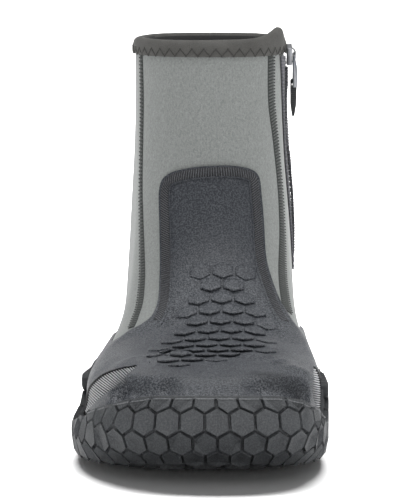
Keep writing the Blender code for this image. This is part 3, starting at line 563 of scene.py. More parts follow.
AFT_MEDIAL = (
    (-62.0, 34.9), (-50.0, 36.4), (-43.0, 36.2), (-35.0, 35.4), (-26.0, 34.4), (-4.0, 30.9),
    (23.0, 26.4),
)
print("guard drawn with", len(GUARD), "points")

# %% from outline to block
MIDDLE_X, HALF_REACH = {-1: 1.9, 1: 2.0}, 110


def rounded_line(points, steps=5):
    """Points of a smooth curve through the given points."""
    line = [Vector((*p, 0.0)) for p in points]
    line = [line[0] * 2 - line[1], *line, line[-1] * 2 - line[-2]]
    out = []
    for a, b, c, d in zip(line, line[1:], line[2:], line[3:]):
        for t in np.arange(steps) / steps:
            bend = (2 * a - 5 * b + 4 * c - d) * t**2 + (3 * b - a - 3 * c + d) * t**3
            out.append((b * 2 + (c - a) * t + bend) / 2)
    return [(p.x, p.y) for p in [*out, line[-2]]]


def block(name, outline, place, reach):
    """A flat outline, set out by place(), extruded along reach."""
    bpy.ops.object.select_all(action="DESELECT")
    bpy.ops.mesh.primitive_circle_add(vertices=len(outline), fill_type="NGON")
    cutter = bpy.context.object
    cutter.name = name
    for vertex, (a, z) in zip(cutter.data.vertices, outline):
        vertex.co = place(a, z)
    edit_all(cutter)
    bpy.ops.mesh.extrude_region_move(TRANSFORM_OT_translate={"value": reach * MM})
    face_outwards(cutter)
    return cutter


def side_block(name, outline, sign):
    """A block over one half of the boot, from an outline seen from the side."""
    reach = Vector((sign * HALF_REACH, 0, 0))
    return block(name, outline, lambda y, z: at(MIDDLE_X[sign], y, z), reach)


def cut(piece, cutter, operation):
    finish_with(piece, "BOOLEAN", object=cutter, operation=operation, solver="EXACT")
    bpy.data.objects.remove(cutter)


guard_edge = rounded_line(GUARD, 4)
window_lateral = [*rounded_line(FRONT_LATERAL)[:-1], *rounded_line(ARC_LATERAL)]
window_medial = [*rounded_line(FRONT_MEDIAL)[:-1], *rounded_line(ARC_MEDIAL)]
print("guard outline has", len(guard_edge), "points")


# %% guard skin
GAP, GUARD_THICK, UNDER_RIM = 0.3, 1.5, 3.0
GUARD_END_Y, GUARD_END_Z, BLOCK_START_Y, BLOCK_REACH = 66, 130, -170, 300


def skin_of_upper(name, thick, keep):
    """The upper's outside where keep() holds, lifted off by the gap and thickened."""
    piece = new_piece(name, upper.data)
    pick(piece, "FACE", lambda f: f.material_index != OUTSIDE or not keep(f.center / MM))
    bpy.ops.mesh.delete(type="FACE")
    bpy.ops.object.mode_set(mode="OBJECT")
    finish_with(piece, "DISPLACE", strength=GAP * MM, mid_level=0.0)
    finish_with(piece, "SOLIDIFY", thickness=thick * MM, offset=1.0, use_even_offset=True)
    return piece


def under(rim):
    """The sole's rim line, moved down so that the guard reaches behind the rim."""
    return [(y, z - UNDER_RIM) for y, z in rim]


def over_foot(place):
    return place.y < GUARD_END_Y and place.z < GUARD_END_Z


guard = skin_of_upper("rubber_guard", GUARD_THICK, over_foot)
reach = Vector((0, BLOCK_REACH, 0))
guard_block = block("guard_block", guard_edge, lambda x, z: at(x, BLOCK_START_Y, z), reach)
cut(guard, guard_block, "INTERSECT")
low_lateral = [*under(RIM_LATERAL), *window_lateral, *AFT_LATERAL, *GUARD_BACK]
low_medial = [*under(RIM_MEDIAL), *window_medial, *AFT_MEDIAL, *GUARD_BACK]
cut(guard, side_block("low_lateral", low_lateral, -1), "DIFFERENCE")
cut(guard, side_block("low_medial", low_medial, 1), "DIFFERENCE")
smooth(guard, 40)
print("guard faces", len(guard.data.polygons))

# %% [markdown]
# ### Edges and rubber
#
# The Booleans leave a knife-sharp edge. Moulded rubber is never that sharp, so a narrow bevel
# rounds it. The finish is matt black-grey rubber with a fine grain and broad soft clouds of tone.
# Small light specks in its colour are painted highlight, glints of light on the grain, and the same
# specks roughen the bump. On the toe, light and shade are painted into the colour: paler across the
# middle of the front and along the ridges above the corner hollows, darker in those hollows. All
# this could be painted on a picture, but noise needs no file and shows no join.

# %% rubber finish
round_edges(guard, width=0.35, segments=2, angle=1.0)
smooth(guard, 40)
# Spots on the toe where light and shade are painted: darker in the two corner hollows, paler across
# the middle of the front and along the ridges above the hollows.
PAINTED_SHADE_OUTER = ((-40.0, 35.4), (-33.0, 36.6), (-26.0, 37.6), (-18.0, 39.2))
PAINTED_SHADE_INNER = ((20.0, 40.8), (26.0, 39.6), (31.0, 37.2), (35.0, 35.0))
FRONT = ((-11.0, 39.6), (-4.0, 39.8), (4.0, 39.8), (11.0, 39.6))
PAINTED_RIDGE_LIGHT = (
    (-34.0, 42.4), (-26.0, 43.0), (-18.0, 43.8),
    (21.0, 47.4), (27.0, 47.0), (33.0, 45.6), (38.0, 43.0),
)


def rubber_finish(name, dark, light, fleck, gloss=0.5, sheen=0.3, change=None, marks=()):
    """Matt rubber: grain, specks painted as glints, clouds of tone, a change along the foot, and
    marks of painted light and shade.
    """
    rubber = Finish(name, Specular_IOR_Level=sheen)
    grain = rubber.noise(0.8, 3.0, None, 0.65)
    cloud = rubber.noise(19.0, 2.0)
    # The specks lighten the colour as painted highlight, glints of light on the grain; they also
    # feed the bump.
    speck = rubber.between(rubber.noise(0.68, 2.0, None, 0.7), 0.42, 0.64)
    base = rubber.blend(grey(*dark), grey(*light), rubber.between(cloud, 0.3, 0.7))
    base = rubber.blend(base, grey(*fleck), speck * 0.72)
    if change:
        first, last, other, share = change
        along = rubber.node("ShaderNodeSeparateXYZ", None, {"Vector": rubber.place}, "Y")
        amount = rubber.between(along, first * MM, last * MM, 0.0, share)
        base = rubber.blend(base, grey(*other), amount)
    for spots, reach, other, share in marks:
        for spot in spots:
            inputs = {0: rubber.place, 1: spot}
            away = rubber.node("ShaderNodeVectorMath", {"operation": "DISTANCE"}, inputs, "Value")
            amount = rubber.between(away, reach * MM, 0.0, 0.0, share)
            base = rubber.blend(base, grey(*other), amount)
    dull = rubber.between(cloud * 0.6 + grain * 0.4, 0.35, 0.65, gloss - 0.06, gloss + 0.1)
    return rubber.paint(base, dull, grain * 0.7 + speck * 0.4, 0.2, 0.8)


guard_rubber = rubber_finish(
    "guard_rubber", (0.013, 0.015, 0.019), (0.022, 0.025, 0.03), (0.15, 0.157, 0.17), 0.46,
    sheen=0.2, change=(-12.0, 12.0, (0.014, 0.0165, 0.0215), 0.6),
    # The marks paint light on the toe's front and ridges, and paint shade in its corner hollows.
    marks=(
        (on_front(FRONT), 8.0, (0.05, 0.053, 0.058), 0.55),
        (on_front(PAINTED_SHADE_OUTER), 5.5, (0.006, 0.007, 0.009), 0.25),
        (on_front(PAINTED_SHADE_INNER), 8.0, (0.006, 0.007, 0.009), 0.65),
        (on_front(PAINTED_RIDGE_LIGHT), 9.0, (0.105, 0.109, 0.116), 0.45),
    ),
)
show(guard, "boot", "rubber", guard_rubber, stands_for=("rubber_overlay",))


# %% [markdown]
# ## A line on the boot
#
# Ribs, seams and stitches all follow lines on the boot. A Curve modifier could bend a
# model along a line, but wouldn't keep it upright on the skin. A trail keeps the line
# with the boot's normals along it, so that a model drawn flat, with x along the line, y
# across it and z up from it, can be laid on the boot. What repeats is modelled once.

# %% trails
TRAIL_STEP = 0.6


class Trail:
    """A line on the boot, with the boot's normal at each of its points."""

    def __init__(self, hits):
        hits = [h for h in hits if h[0] is not None]
        self.points = np.array([h[0] for h in hits]) / MM
        normals = np.array([h[1] for h in hits])
        before = np.vstack([normals[:1], normals[:-1]])
        after = np.vstack([normals[1:], normals[-1:]])
        soft = before + 2 * normals + after
        self.normals = soft / np.linalg.norm(soft, axis=1)[:, None]
        steps = np.linalg.norm(np.diff(self.points, axis=0), axis=1)
        self.s = np.concatenate([[0.0], np.cumsum(steps)])
        self.length = self.s[-1]

    def point(self, s):
        return np.array([np.interp(s, self.s, self.points[:, k]) for k in range(3)])

    def frame(self, s):
        """Place, direction along, direction across and normal at a distance."""
        along = self.point(s + TRAIL_STEP) - self.point(s - TRAIL_STEP)
        along = along / max(np.linalg.norm(along), 1e-9)
        up = np.array([np.interp(s, self.s, self.normals[:, k]) for k in range(3)])
        side = np.cross(up, along)
        side = side / np.linalg.norm(side)
        return self.point(s), along, side, np.cross(along, side)

    def place(self, s, across, up):
        here, along, side, normal = self.frame(min(max(s, 0.0), self.length))
        beyond = s - min(max(s, 0.0), self.length)
        return Vector(here + along * beyond + side * across + normal * up) * MM


# %% models along a trail
def copies(name, model, maps):
    """One piece from many copies of a flat model, each bent into place by its own map."""
    made = []
    for place in maps:
        copy = new_piece(name, model.data)
        for vertex in copy.data.vertices:
            vertex.co = place(*(vertex.co / MM))
        made.append(copy)
    bpy.data.objects.remove(model)
    only(made[0])
    for copy in made:
        copy.select_set(True)
    if len(made) > 1:
        bpy.ops.object.join()
    face_outwards(made[0])
    smooth(made[0], 50)
    return made[0]


def bar(name, sides, cuts, taper):
    """A bar from x -0.5 to 0.5 mm, 1 mm across, drawn in towards its ends."""
    bpy.ops.object.select_all(action="DESELECT")
    bpy.ops.mesh.primitive_cylinder_add(
        vertices=sides, radius=0.5 * MM, depth=1.0 * MM, rotation=(0.0, math.pi / 2, 0.0)
    )
    made = bpy.context.object
    made.name = name
    bpy.ops.object.transform_apply(location=True, rotation=True, scale=True)
    ends = made.data.vertices

    def lengthwise(edge):
        first, last = (ends[k].co.x for k in edge.vertices)
        return abs(first - last) > 0.5 * MM

    pick(made, "EDGE", lengthwise)
    bpy.ops.mesh.subdivide(number_cuts=cuts)
    bpy.ops.object.mode_set(mode="OBJECT")
    pick(made, "VERT", lambda v: abs(v.co.x) > 0.49 * MM)
    bpy.ops.transform.resize(value=(1.0, taper, taper), center_override=(0.0, 0.0, 0.0))
    bpy.ops.object.mode_set(mode="OBJECT")
    return made


def ribbon(name, trail, section, step_mm):
    """A strip along a trail; section lists its points as (across, up), edge to edge."""
    rows, gaps = max(int(trail.length / step_mm), 2), len(section) - 1
    bpy.ops.object.select_all(action="DESELECT")
    bpy.ops.mesh.primitive_grid_add(x_subdivisions=rows, y_subdivisions=gaps, size=1.0)
    made = bpy.context.object
    made.name = name
    for vertex in made.data.vertices:
        across, up = section[round((vertex.co.y + 0.5) * gaps)]
        vertex.co = trail.place((vertex.co.x + 0.5) * trail.length, across, up)
    return made


def thicken(piece, thick):
    finish_with(piece, "SOLIDIFY", thickness=thick * MM, offset=-1.0)
    smooth(piece, 50)


print("trails ready")

# %% [markdown]
# ## Flex panels
#
# Beside the toe, the guard has a window on each side, filled by a thinner panel with fine ribs so
# that the forefoot can bend. The base of each panel is cut from the upper's skin as the guard was,
# and is coloured near-black as painted shade in the grooves between the ribs. A bump pattern could
# draw the ribs, but each catches the light on its own, so each is a bar. They slant along the foot,
# a little under a millimetre apart. Along the step from guard to panel lies a black bead, painted
# shadow for the shade in that step.

# %% panel bases
PANEL_THICK = 0.5
PATCH_TOE_Y, PATCH_BACK_Y, PATCH_TOP_Z, PATCH_MIDDLE_X, PATCH_OFF_X = -116, 12, 50, 5, 5


def inset(outline, share=0.985):
    middle = np.mean(np.array(outline), axis=0)
    return [tuple(middle + (np.array(p) - middle) * share) for p in outline]


def inside(point, outline):
    """Whether a point of the side view lies inside an outline."""
    a, b = np.array(outline), np.roll(np.array(outline), -1, axis=0)
    cuts = (a[:, 1] > point[1]) != (b[:, 1] > point[1])
    rise = np.where(cuts, b[:, 1] - a[:, 1], 1.0)
    crossing = a[:, 0] + (point[1] - a[:, 1]) / rise * (b[:, 0] - a[:, 0])
    return bool(np.sum(cuts & (crossing > point[0])) % 2)


def patch(name, outline, sign, thick):
    """A skin on one side of the upper, inside a side-view outline."""

    def near(place):
        beside = sign * (place.x - PATCH_MIDDLE_X) > PATCH_OFF_X
        return PATCH_TOE_Y < place.y < PATCH_BACK_Y and beside and place.z < PATCH_TOP_Z

    piece = skin_of_upper(name, thick, near)
    cut(piece, side_block(name + "_block", outline, sign), "INTERSECT")
    smooth(piece, 40)
    return piece


panel_lateral = patch("flex_panel_outer", inset(window_lateral), -1, PANEL_THICK)
full_medial = [*window_medial, *SILL_MEDIAL]
panel_medial = patch("flex_panel_inner", inset(full_medial), 1, PANEL_THICK)
print("panel faces", len(panel_lateral.data.polygons), len(panel_medial.data.polygons))


# %% lines of the ribs
RIB_PITCH, RIB_HEIGHT, RIB_SHARE, RIB_STEP, SIGHT = 0.9, 0.6, 0.56, 0.8, math.radians(6.5)
REAR_INSET, WINDOW_INSET, LEAST_SPREAD = 0.95, 0.96, 0.35


def rib_plane(slope):
    """The plane of a rib that slopes down to the right, seen from a little above the front."""
    sight = Vector((0.0, math.cos(SIGHT), -math.sin(SIGHT)))
    return sight.cross(Vector((math.cos(slope), 0.0, -math.sin(slope)))).normalized()


def rib_trail(tree, place, normal, plane, window):
    """The line where a plane meets the panel, from its rear edge to the window's edge."""
    hits = []
    for _ in range(70):
        spot = place / MM - DRAWING_TO_FRAME
        if len(hits) > 2 and not inside((spot.y, spot.z), window):
            break
        hits.append((place, normal))
        step = normal.cross(plane).normalized()
        place, found, _, _ = tree.find_nearest(place - step * math.copysign(RIB_STEP * MM, step.y))
        normal = found if found.dot(normal) > 0 else -found
    return hits


def along_rib(trail, width):
    def place(x, y, z):
        return trail.place((x + 0.5) * trail.length, y * width, z * RIB_HEIGHT * 2 - 0.1)

    return place


print("a rib every", RIB_PITCH, "mm")


# %% panel ribs
def panel_ribs(side, panel, sign, rear, window, slopes):
    tree = tree_of(panel)
    middle = np.mean(window, axis=0)
    inner = inset(window, WINDOW_INSET)
    spots = [middle + (np.array(p) - middle) * REAR_INSET for p in rear]
    edge = Trail([side_hit(tree, sign, *spot) for spot in spots])
    maps, last = [], None
    for s in np.arange(0.2, edge.length - 0.2, 0.1):
        spot, _, _, normal = edge.frame(s)
        spot, normal = Vector(spot), Vector(normal)
        plane = rib_plane(math.radians(np.interp(s / edge.length, (0.0, 0.5, 1.0), slopes)))
        if last and abs(plane.dot(spot - last)) < RIB_PITCH:
            continue
        last = spot
        hits = rib_trail(tree, spot * MM, normal, plane, inner)
        if len(hits) > 3:
            spread = (plane - normal * plane.dot(normal)).length
            width = RIB_SHARE * RIB_PITCH / max(spread, LEAST_SPREAD)
            maps.append(along_rib(Trail(hits), width))
    print(side, len(maps), "ribs")
    return copies("flex_ribs_" + side, bar("rib", sides=8, cuts=7, taper=0.55), maps)


ribs_lateral = panel_ribs(
    "lateral", panel_lateral, -1, rounded_line(ARC_LATERAL, 8), window_lateral, (44.0, 30.0, 40.0)
)
ribs_medial = panel_ribs(
    "medial", panel_medial, 1, rounded_line([*ARC_MEDIAL, *SILL_MEDIAL], 8), full_medial,
    (12.0, 13.0, 14.0),
)

# %% panel finishes
ribbed_rubber = rubber_finish(
    "ribbed_rubber", (0.3, 0.305, 0.315), (0.37, 0.375, 0.385), (0.5, 0.51, 0.52), 0.6,
    change=(-90.0, -108.0, (0.05, 0.053, 0.058), 1.0),
)
# Near-black finishes of painted shade: for the grooves under the border ribs and on the panel bases
# between the flex ribs.
painted_groove_shade = rubber_finish(
    "painted_groove_shade", (0.012, 0.013, 0.015), (0.02, 0.021, 0.023), (0.03, 0.03, 0.03), 0.7
)
painted_panel_groove_shade = rubber_finish(
    "painted_panel_groove_shade", (0.012, 0.013, 0.015), (0.02, 0.021, 0.023), (0.03, 0.03, 0.03), 0.7,
    change=(-86.0, -104.0, (0.045, 0.048, 0.053), 1.0),
)
show(panel_lateral, "boot", "ribbed_rubber", painted_panel_groove_shade, stands_for=("flex_panel_lateral",))
show(panel_medial, "boot", "ribbed_rubber", painted_panel_groove_shade, stands_for=("flex_panel_medial",))
show(ribs_lateral, "boot", "ribbed_rubber", ribbed_rubber)
show(ribs_medial, "boot", "ribbed_rubber", ribbed_rubber)


# %% black bead at the step, a painted shadow
def bead(name, trail, radius, rise, sides=7):
    """A round cord laid along a trail."""
    turns = [2 * math.pi * k / sides for k in range(sides + 1)]
    section = [(radius * math.cos(a), rise - radius * math.sin(a)) for a in turns]
    made = ribbon(name, trail, section, 0.8)
    edit_all(made)
    bpy.ops.mesh.remove_doubles(threshold=1e-6)
    bpy.ops.mesh.fill_holes(sides=sides)
    bpy.ops.mesh.normals_make_consistent(inside=False)
    bpy.ops.object.mode_set(mode="OBJECT")
    smooth(made, 60)
    return made


# A near-black finish of painted shadow: for the bead in the step from guard to panel, and for the
# edges under the vamp scales.
painted_step_shadow = rubber_finish(
    "painted_step_shadow", (0.005, 0.005, 0.006), (0.008, 0.008, 0.009), (0.02, 0.02, 0.02), 0.7
)
for side, sign, arc in (("lateral", -1, ARC_LATERAL), ("medial", 1, ARC_MEDIAL)):
    step = Trail([side_hit(upper_tree, sign, y - 0.4, z - 0.2) for y, z in rounded_line(arc)])
    step_shadow_bead = bead("panel_step_" + side, step, radius=0.95, rise=0.85)
    show(step_shadow_bead, "boot", "rubber", painted_step_shadow)

# %% [markdown]
# ## Hexagon scales on the vamp
#
# The vamp carries rows of hexagon plates. Each plate lies flush at its upper corner and stands
# proud at its lower one, like a scale, so its lower edges draw dark lines. Its edges that face up
# and down the ridge are also coloured near-black, painted shade under the plate, and its sides are
# coloured pale, painted highlight where they catch the light. A bump pattern has no such edges, so
# the plates are modelled: one is made from a six-sided disc, divided and given thickness, and
# copied row by row down the ridge. Plates near the edge of the field sink into the guard.

# %% ridge of the vamp
FIRST_ROW_Y, FIRST_ROW_UP = 3.0, 3.2
guard_tree = tree_of(guard)
eye = at(2.0, -130.0, 230.0)
turns = [math.radians(a) for a in np.linspace(-88, -20, 260)]
ridge = Trail([drop(guard_tree, eye, Vector((0.0, math.cos(a), math.sin(a)))) for a in turns])
ridge_y = ridge.points[:, 1] - DRAWING_TO_FRAME.y
first_row = float(np.interp(FIRST_ROW_Y, ridge_y, ridge.s)) - FIRST_ROW_UP
print("ridge is", round(ridge.length, 1), "mm long, first row at", round(first_row, 1))

# %% one scale
SCALE_PITCH, SCALE_ROW, SCALE_RISE, SCALE_GROOVE, SCALE_THICK = 10.2, 9.3, 1.6, 0.95, 0.9


def hexagon(name, radius, depth, cuts=0):
    """A six-sided disc with its face at z 0, divided, and given depth."""
    bpy.ops.object.select_all(action="DESELECT")
    bpy.ops.mesh.primitive_circle_add(vertices=6, radius=radius * MM, fill_type="TRIFAN")
    made = bpy.context.object
    made.name = name
    edit_all(made)
    if cuts:
        bpy.ops.mesh.subdivide(number_cuts=cuts)
        bpy.ops.mesh.select_all(action="SELECT")
    bpy.ops.mesh.extrude_region_move(TRANSFORM_OT_translate={"value": (0.0, 0.0, -depth * MM)})
    face_outwards(made)
    return made


def scale_model():
    """One scale, with a finish each for its top, its two sides (painted highlight) and its other
    edges (painted shade).
    """
    reach = (SCALE_PITCH - SCALE_GROOVE) / math.sqrt(3)
    made = hexagon("scale", reach, SCALE_THICK, cuts=2)
    round_edges(made, width=0.22, segments=1, angle=0.8)
    for face in made.data.polygons:
        # Slot 1, near-black, is painted shade on the edges; slot 2, pale, is painted highlight on
        # the sides.
        face.material_index = 0 if face.normal.z > 0.9 else 2 if abs(face.normal.x) > 0.8 else 1
    return made


def on_ridge(s, x, up):
    """Place on the guard, at a distance along the ridge and across it."""
    here, _, _, normal = ridge.frame(s)
    normal = Vector((0.0, normal[1], normal[2])).normalized()
    start = Vector((x + DRAWING_TO_FRAME.x, here[1], here[2])) * MM + normal * 0.03
    place, out = drop(guard_tree, start, -normal)
    return place + (normal * 0.6 + out * 0.4) * (up * MM)


def scale_map(s, x, rise):
    """x of the flat model runs across the foot and y up the ridge."""
    slope = rise / SCALE_PITCH

    def place(u, v, w):
        crown = 0.12 * rise * (1 - (u * u + v * v) / 36)
        return on_ridge(s + v * 1.06, x + u, w + rise * 0.42 - v * slope + crown)

    return place


print("a scale is", round(SCALE_PITCH - SCALE_GROOVE, 2), "mm wide")

# %% rows of scales
SCALE_ROWS, SCALE_MIDDLE, SCALE_DRIFT = 12, 5.2, 3.5
SCALE_EDGES = (
    (0.0, -9.5, 19.6), (35.0, -17.0, 26.7), (55.0, -22.5, 27.0), (79.0, -27.8, 26.0),
    (88.0, -28.5, 11.0), (97.0, -25.0, -1.0), (106.0, -19.5, -7.0),
)
knots = [row[0] for row in SCALE_EDGES]
maps = []
for row in range(SCALE_ROWS):
    down = row * SCALE_ROW
    left = np.interp(down, knots, [r[1] for r in SCALE_EDGES])
    right = np.interp(down, knots, [r[2] for r in SCALE_EDGES])
    middle = SCALE_MIDDLE - SCALE_DRIFT * down / 100 + (SCALE_PITCH / 2 if row % 2 else 0.0)
    for k in range(-5, 6):
        x = middle + k * SCALE_PITCH
        room = min(x - left, right - x)
        if room > 1.5:
            fade = min(1.0, 0.35 + room / 14) * (0.7 if row in (0, SCALE_ROWS - 1) else 1.0)
            maps.append(scale_map(first_row - down, x, SCALE_RISE * fade))
scales = copies("vamp_scales", scale_model(), maps)
# A pale finish of painted highlight: for the scales' sides and for the bead on the sole's toe rim.
painted_edge_highlight = rubber_finish(
    "painted_edge_highlight", (0.07, 0.074, 0.08), (0.1, 0.104, 0.11), (0.16, 0.165, 0.17), 0.55
)
show(scales, "boot", "rubber", guard_rubber, painted_step_shadow, painted_edge_highlight)
print(len(maps), "scales")

# %% [markdown]
# ## Ribbed border of the instep pad
#
# Round the instep pad runs a border band of fine slanting ribs. Its middle line is the
# guard's outline drawn in by a little over half the band, dropped on the guard from the
# front. An Array along a curve would keep one slant all the way round, so each rib is
# one more copy of the bar, laid across the band at a slant that mirrors from side to side.

# %% border band
BAND_WIDTH, BAND_PITCH, BAND_INSET, PAD_FOOT_Z, GROOVE_OFF = 4.1, 1.15, 2.7, 56.0, 0.5


def drawn_in(line, distance):
    """A front-view line moved to its right by a distance."""
    pts = np.array(line)
    along = np.gradient(pts, axis=0)
    along = along / np.linalg.norm(along, axis=1)[:, None]
    return pts + np.stack([along[:, 1], -along[:, 0]], axis=1) * distance


pad_edge = [p for p in guard_edge if p[1] > PAD_FOOT_Z]
band_line = drawn_in(pad_edge, BAND_INSET)
band = Trail([front_hit(guard_tree, x, z) for x, z in band_line])
print("border band is", round(band.length, 1), "mm long")


# %% border ribs
def band_rib(s):
    """Slant towards the middle of the top, upright there, mirrored beyond it."""
    lean = 0.75 * max(-1.0, min(1.0, (band.length / 2 - s) / 30))
    fade = min(1.0, 0.25 + s / 30, 0.25 + (band.length - s) / 30)

    def place(x, y, z):
        across = x * BAND_WIDTH
        return band.place(s + across * lean + y * 0.66, across, z * 0.9 * fade + 0.05)

    return place


# Under the border ribs lies a near-black strip: painted shade in the grooves between them.
floor_section = ((-2.1, -0.1), (-1.9, 0.06), (0.0, 0.06), (1.9, 0.06), (2.1, -0.1))
band_floor = ribbon("pad_border_floor", band, floor_section, 1.5)
thicken(band_floor, 0.1)
show(band_floor, "boot", "rubber", painted_groove_shade)
places = np.arange(1.0, band.length - 1.0, BAND_PITCH)
maps = [band_rib(s) for s in places]
border = copies("pad_border_ribs", bar("border_rib", sides=6, cuts=3, taper=0.5), maps)
border_rubber = rubber_finish(
    "border_rubber", (0.045, 0.048, 0.053), (0.06, 0.063, 0.069), (0.1, 0.1, 0.11), 0.55
)
show(border, "boot", "rubber", border_rubber)
groove_line = drawn_in(pad_edge, BAND_INSET + BAND_WIDTH / 2 + GROOVE_OFF)
groove = Trail([front_hit(guard_tree, x, z) for x, z in groove_line])
pad_bead = bead("pad_inner_bead", groove, radius=0.35, rise=0.05, sides=6)
show(pad_bead, "boot", "rubber", guard_rubber)

# %% [markdown]
# ## Outsole
#
# The sole is one moulding: a cup with hexagon lugs round its side and under the foot.
# Its CAD solid has the right shape already, so the copy only has its hard edges rounded
# by a narrow bevel, as a mould leaves them.

# %% outsole
outsole = copy_of("outsole", "lugged_outsole")
round_edges(outsole, width=0.28, segments=2, angle=math.radians(32))
smooth(outsole, 28)
# Behind the toe the colour darkens: painted shade on the sole's side walls and flanks, which stand
# in shadow.
sole_rubber = rubber_finish(
    "sole_rubber", (0.027, 0.029, 0.032), (0.039, 0.042, 0.045), (0.07, 0.073, 0.077), 0.58,
    change=(-82.0, -66.0, (0.018, 0.019, 0.021), 1.0),
)
show(outsole, "boot", "moulded_rubber", sole_rubber, stands_for=("outsole",))
lit_sole.objects.link(outsole)

# %% lip of the toe rim, a painted highlight
BALL = Vector((2.0, -80.0, 0.0))
outsole_tree = tree_of(outsole)


def rim_hit(degrees):
    """A place on the sole's upper edge, at a turn round the ball of the foot."""
    turn = math.radians(degrees)
    way = Vector((math.sin(turn), -math.cos(turn), 0.0))
    table = RIM_LATERAL if turn < 0 else RIM_MEDIAL
    rim_y, rim_z = zip(*table[2:])
    height = 15.0
    for _ in range(4):
        start = BALL + way * 150.0
        spot, normal = drop(outsole_tree, at(start.x, start.y, height), -way)
        height = float(np.interp(spot.y / MM - DRAWING_TO_FRAME.y, rim_y, rim_z)) - 0.75
    return spot, (normal + Vector((0.0, 0.0, 0.6))).normalized()


# A thin pale bead along the rim's upper edge is painted highlight, where that edge catches the
# light.
lip = Trail([rim_hit(a) for a in np.linspace(-72.0, 66.0, 150)])
rim_highlight_bead = bead("toe_rim_highlight", lip, radius=0.3, rise=0.05, sides=6)
show(rim_highlight_bead, "boot", "moulded_rubber", painted_edge_highlight)

# %% [markdown]
# ### Flanks of the sole
#
# Behind the flex panels the sole climbs the sides of the waist as a lugged flank, up to
# the guard's lower edge. It could be pulled up from the sole's rim, but a skin on the
# upper lies on the boot without a gap. So a flank is made as the panels were, cut to its
# side view and sunk into the sole below. Its lugs are a six-sided disc, thickened,
# bevelled and copied.

# %% one lug of the flank
LUG_RISE, LUG_RADIUS, LUG_DEPTH, LUG_LEVEL, LUG_FALL = 2.3, 4.0, 4.6, 29.0, 0.35


def lug_model():
    made = hexagon("flank_lug", LUG_RADIUS, LUG_DEPTH)
    round_edges(made, width=0.9, segments=3, angle=0.8)
    return made


def lug_map(tree, sign, y, z):
    """A flat lug laid on the flank: y of the model goes up, x along the foot."""
    spot, normal = side_hit(tree, sign, y, z)
    along = Vector((0.0, 0.0, 1.0)).cross(normal).normalized()
    up = normal.cross(along)
    rise = LUG_RISE - max(LUG_LEVEL - z, 0.0) * LUG_FALL
    return lambda u, v, w: spot + (along * u + up * v + normal * (w + rise)) * MM


print("a lug is", 2 * LUG_RADIUS, "mm from corner to corner")

# %% flanks
FLANK_THICK, LUG_PITCH, LUG_ROW, LUG_ROWS, FIRST_LUG_Z = 2.2, 7.6, 6.6, 5, 17.0
FLANK_LATERAL = (
    (-49.0, 17.8), (-43.0, 24.1), (-35.0, 35.0), (-26.0, 38.0), (-15.0, 37.8), (-4.0, 37.0),
    (-4.0, 30.0), (-15.0, 26.0), (-26.0, 20.0), (-35.0, 17.0), (-43.0, 15.0), (-49.0, 14.0),
)
FLANK_MEDIAL = (
    (-78.0, 20.7), (-70.0, 29.7), (-62.0, 34.7), (-50.0, 36.2), (-43.0, 36.0), (-35.0, 35.2),
    (-26.0, 34.2), (-26.0, 30.0), (-43.0, 28.0), (-62.0, 21.0), (-70.0, 18.0), (-78.0, 16.5),
)
for side, sign, outline in (("outer", -1, FLANK_LATERAL), ("inner", 1, FLANK_MEDIAL)):
    flank = patch("sole_flank_" + side, outline, sign, FLANK_THICK)
    tree, middle = tree_of(flank), inset(outline, 0.86)
    grid = [
        (y + (LUG_PITCH / 2 if row % 2 else 0.0), FIRST_LUG_Z + row * LUG_ROW)
        for row in range(LUG_ROWS)
        for y in np.arange(-80.0, 0.0, LUG_PITCH)
    ]
    spots = [spot for spot in grid if inside(spot, middle)]
    show(flank, "boot", "moulded_rubber", sole_rubber)
    maps = [lug_map(tree, sign, *spot) for spot in spots]
    lugs = copies("flank_lugs_" + side, lug_model(), maps)
    show(lugs, "boot", "moulded_rubber", sole_rubber)
    print(len(spots), "lugs on the", side, "flank")

# %% [markdown]
# ## Overlocked seams
#
# Two seams run down the front of the shaft, where the sock's panels are joined. A painted
# line would look flat, so a seam is a low rounded strip, and over it lie slanting threads
# about a millimetre and a half apart. Short dark stitches reach past one edge of the
# strip, so that it looks toothed.

# %% seam lines
SEAMS = (
    (40.0, -44.0, 44.0), (50.5, -36.2, 38.0), (56.0, -33.5, 35.0), (62.0, -31.8, 33.2),
    (73.0, -31.1, 32.2), (91.0, -31.7, 32.6), (110.0, -32.2, 31.8), (133.0, -31.9, 29.6),
    (151.0, -31.6, 27.6), (172.5, -32.0, 27.4),
)
SEAM_FOOT_Z = 45.0
SEAM_SECTION = ((-1.0, -0.15), (-0.8, 0.3), (0.0, 0.45), (0.8, 0.3), (1.0, -0.15))
boot_tree = tree_of(upper, guard)


def seam_trail(column):
    line = rounded_line([(row[column], row[0]) for row in SEAMS], 8)
    line = [p for p in line if p[1] > SEAM_FOOT_Z]
    hits = [front_hit(boot_tree, x, z) for x, z in line]
    clear = [front_hit(guard_tree, x, z)[0] is None for x, z in line]
    return Trail([h for h, free in zip(hits, clear) if free])


print("seams", [round(seam_trail(column).length, 1) for column in (1, 2)], "mm long")


# %% seam threads
def seam_bar(trail, s, lean, half):
    """A thread across the strip, dipping into it at both ends."""

    def place(x, y, z):
        across = x * half * 1.7
        return trail.place(s + across * lean + y * 0.72, across, 0.55 - 0.9 * x * x + z * 0.5)

    return place


def seam_tooth(trail, s, edge):
    """A short dark stitch that reaches from the strip's edge into the neoprene."""

    def place(x, y, z):
        across = edge + math.copysign(x - 0.1, edge)
        return trail.place(s + y * 0.75, across, 0.25 - 0.35 * x + z * 0.5)

    return place


def thread_finish(name, dark, light):
    thread = Finish(name, Roughness=0.8)
    fibre = thread.noise(0.25, 2.0)
    colour = thread.blend(grey(*dark), grey(*light), thread.between(fibre, 0.3, 0.7))
    return thread.paint(colour, None, fibre, 0.08)


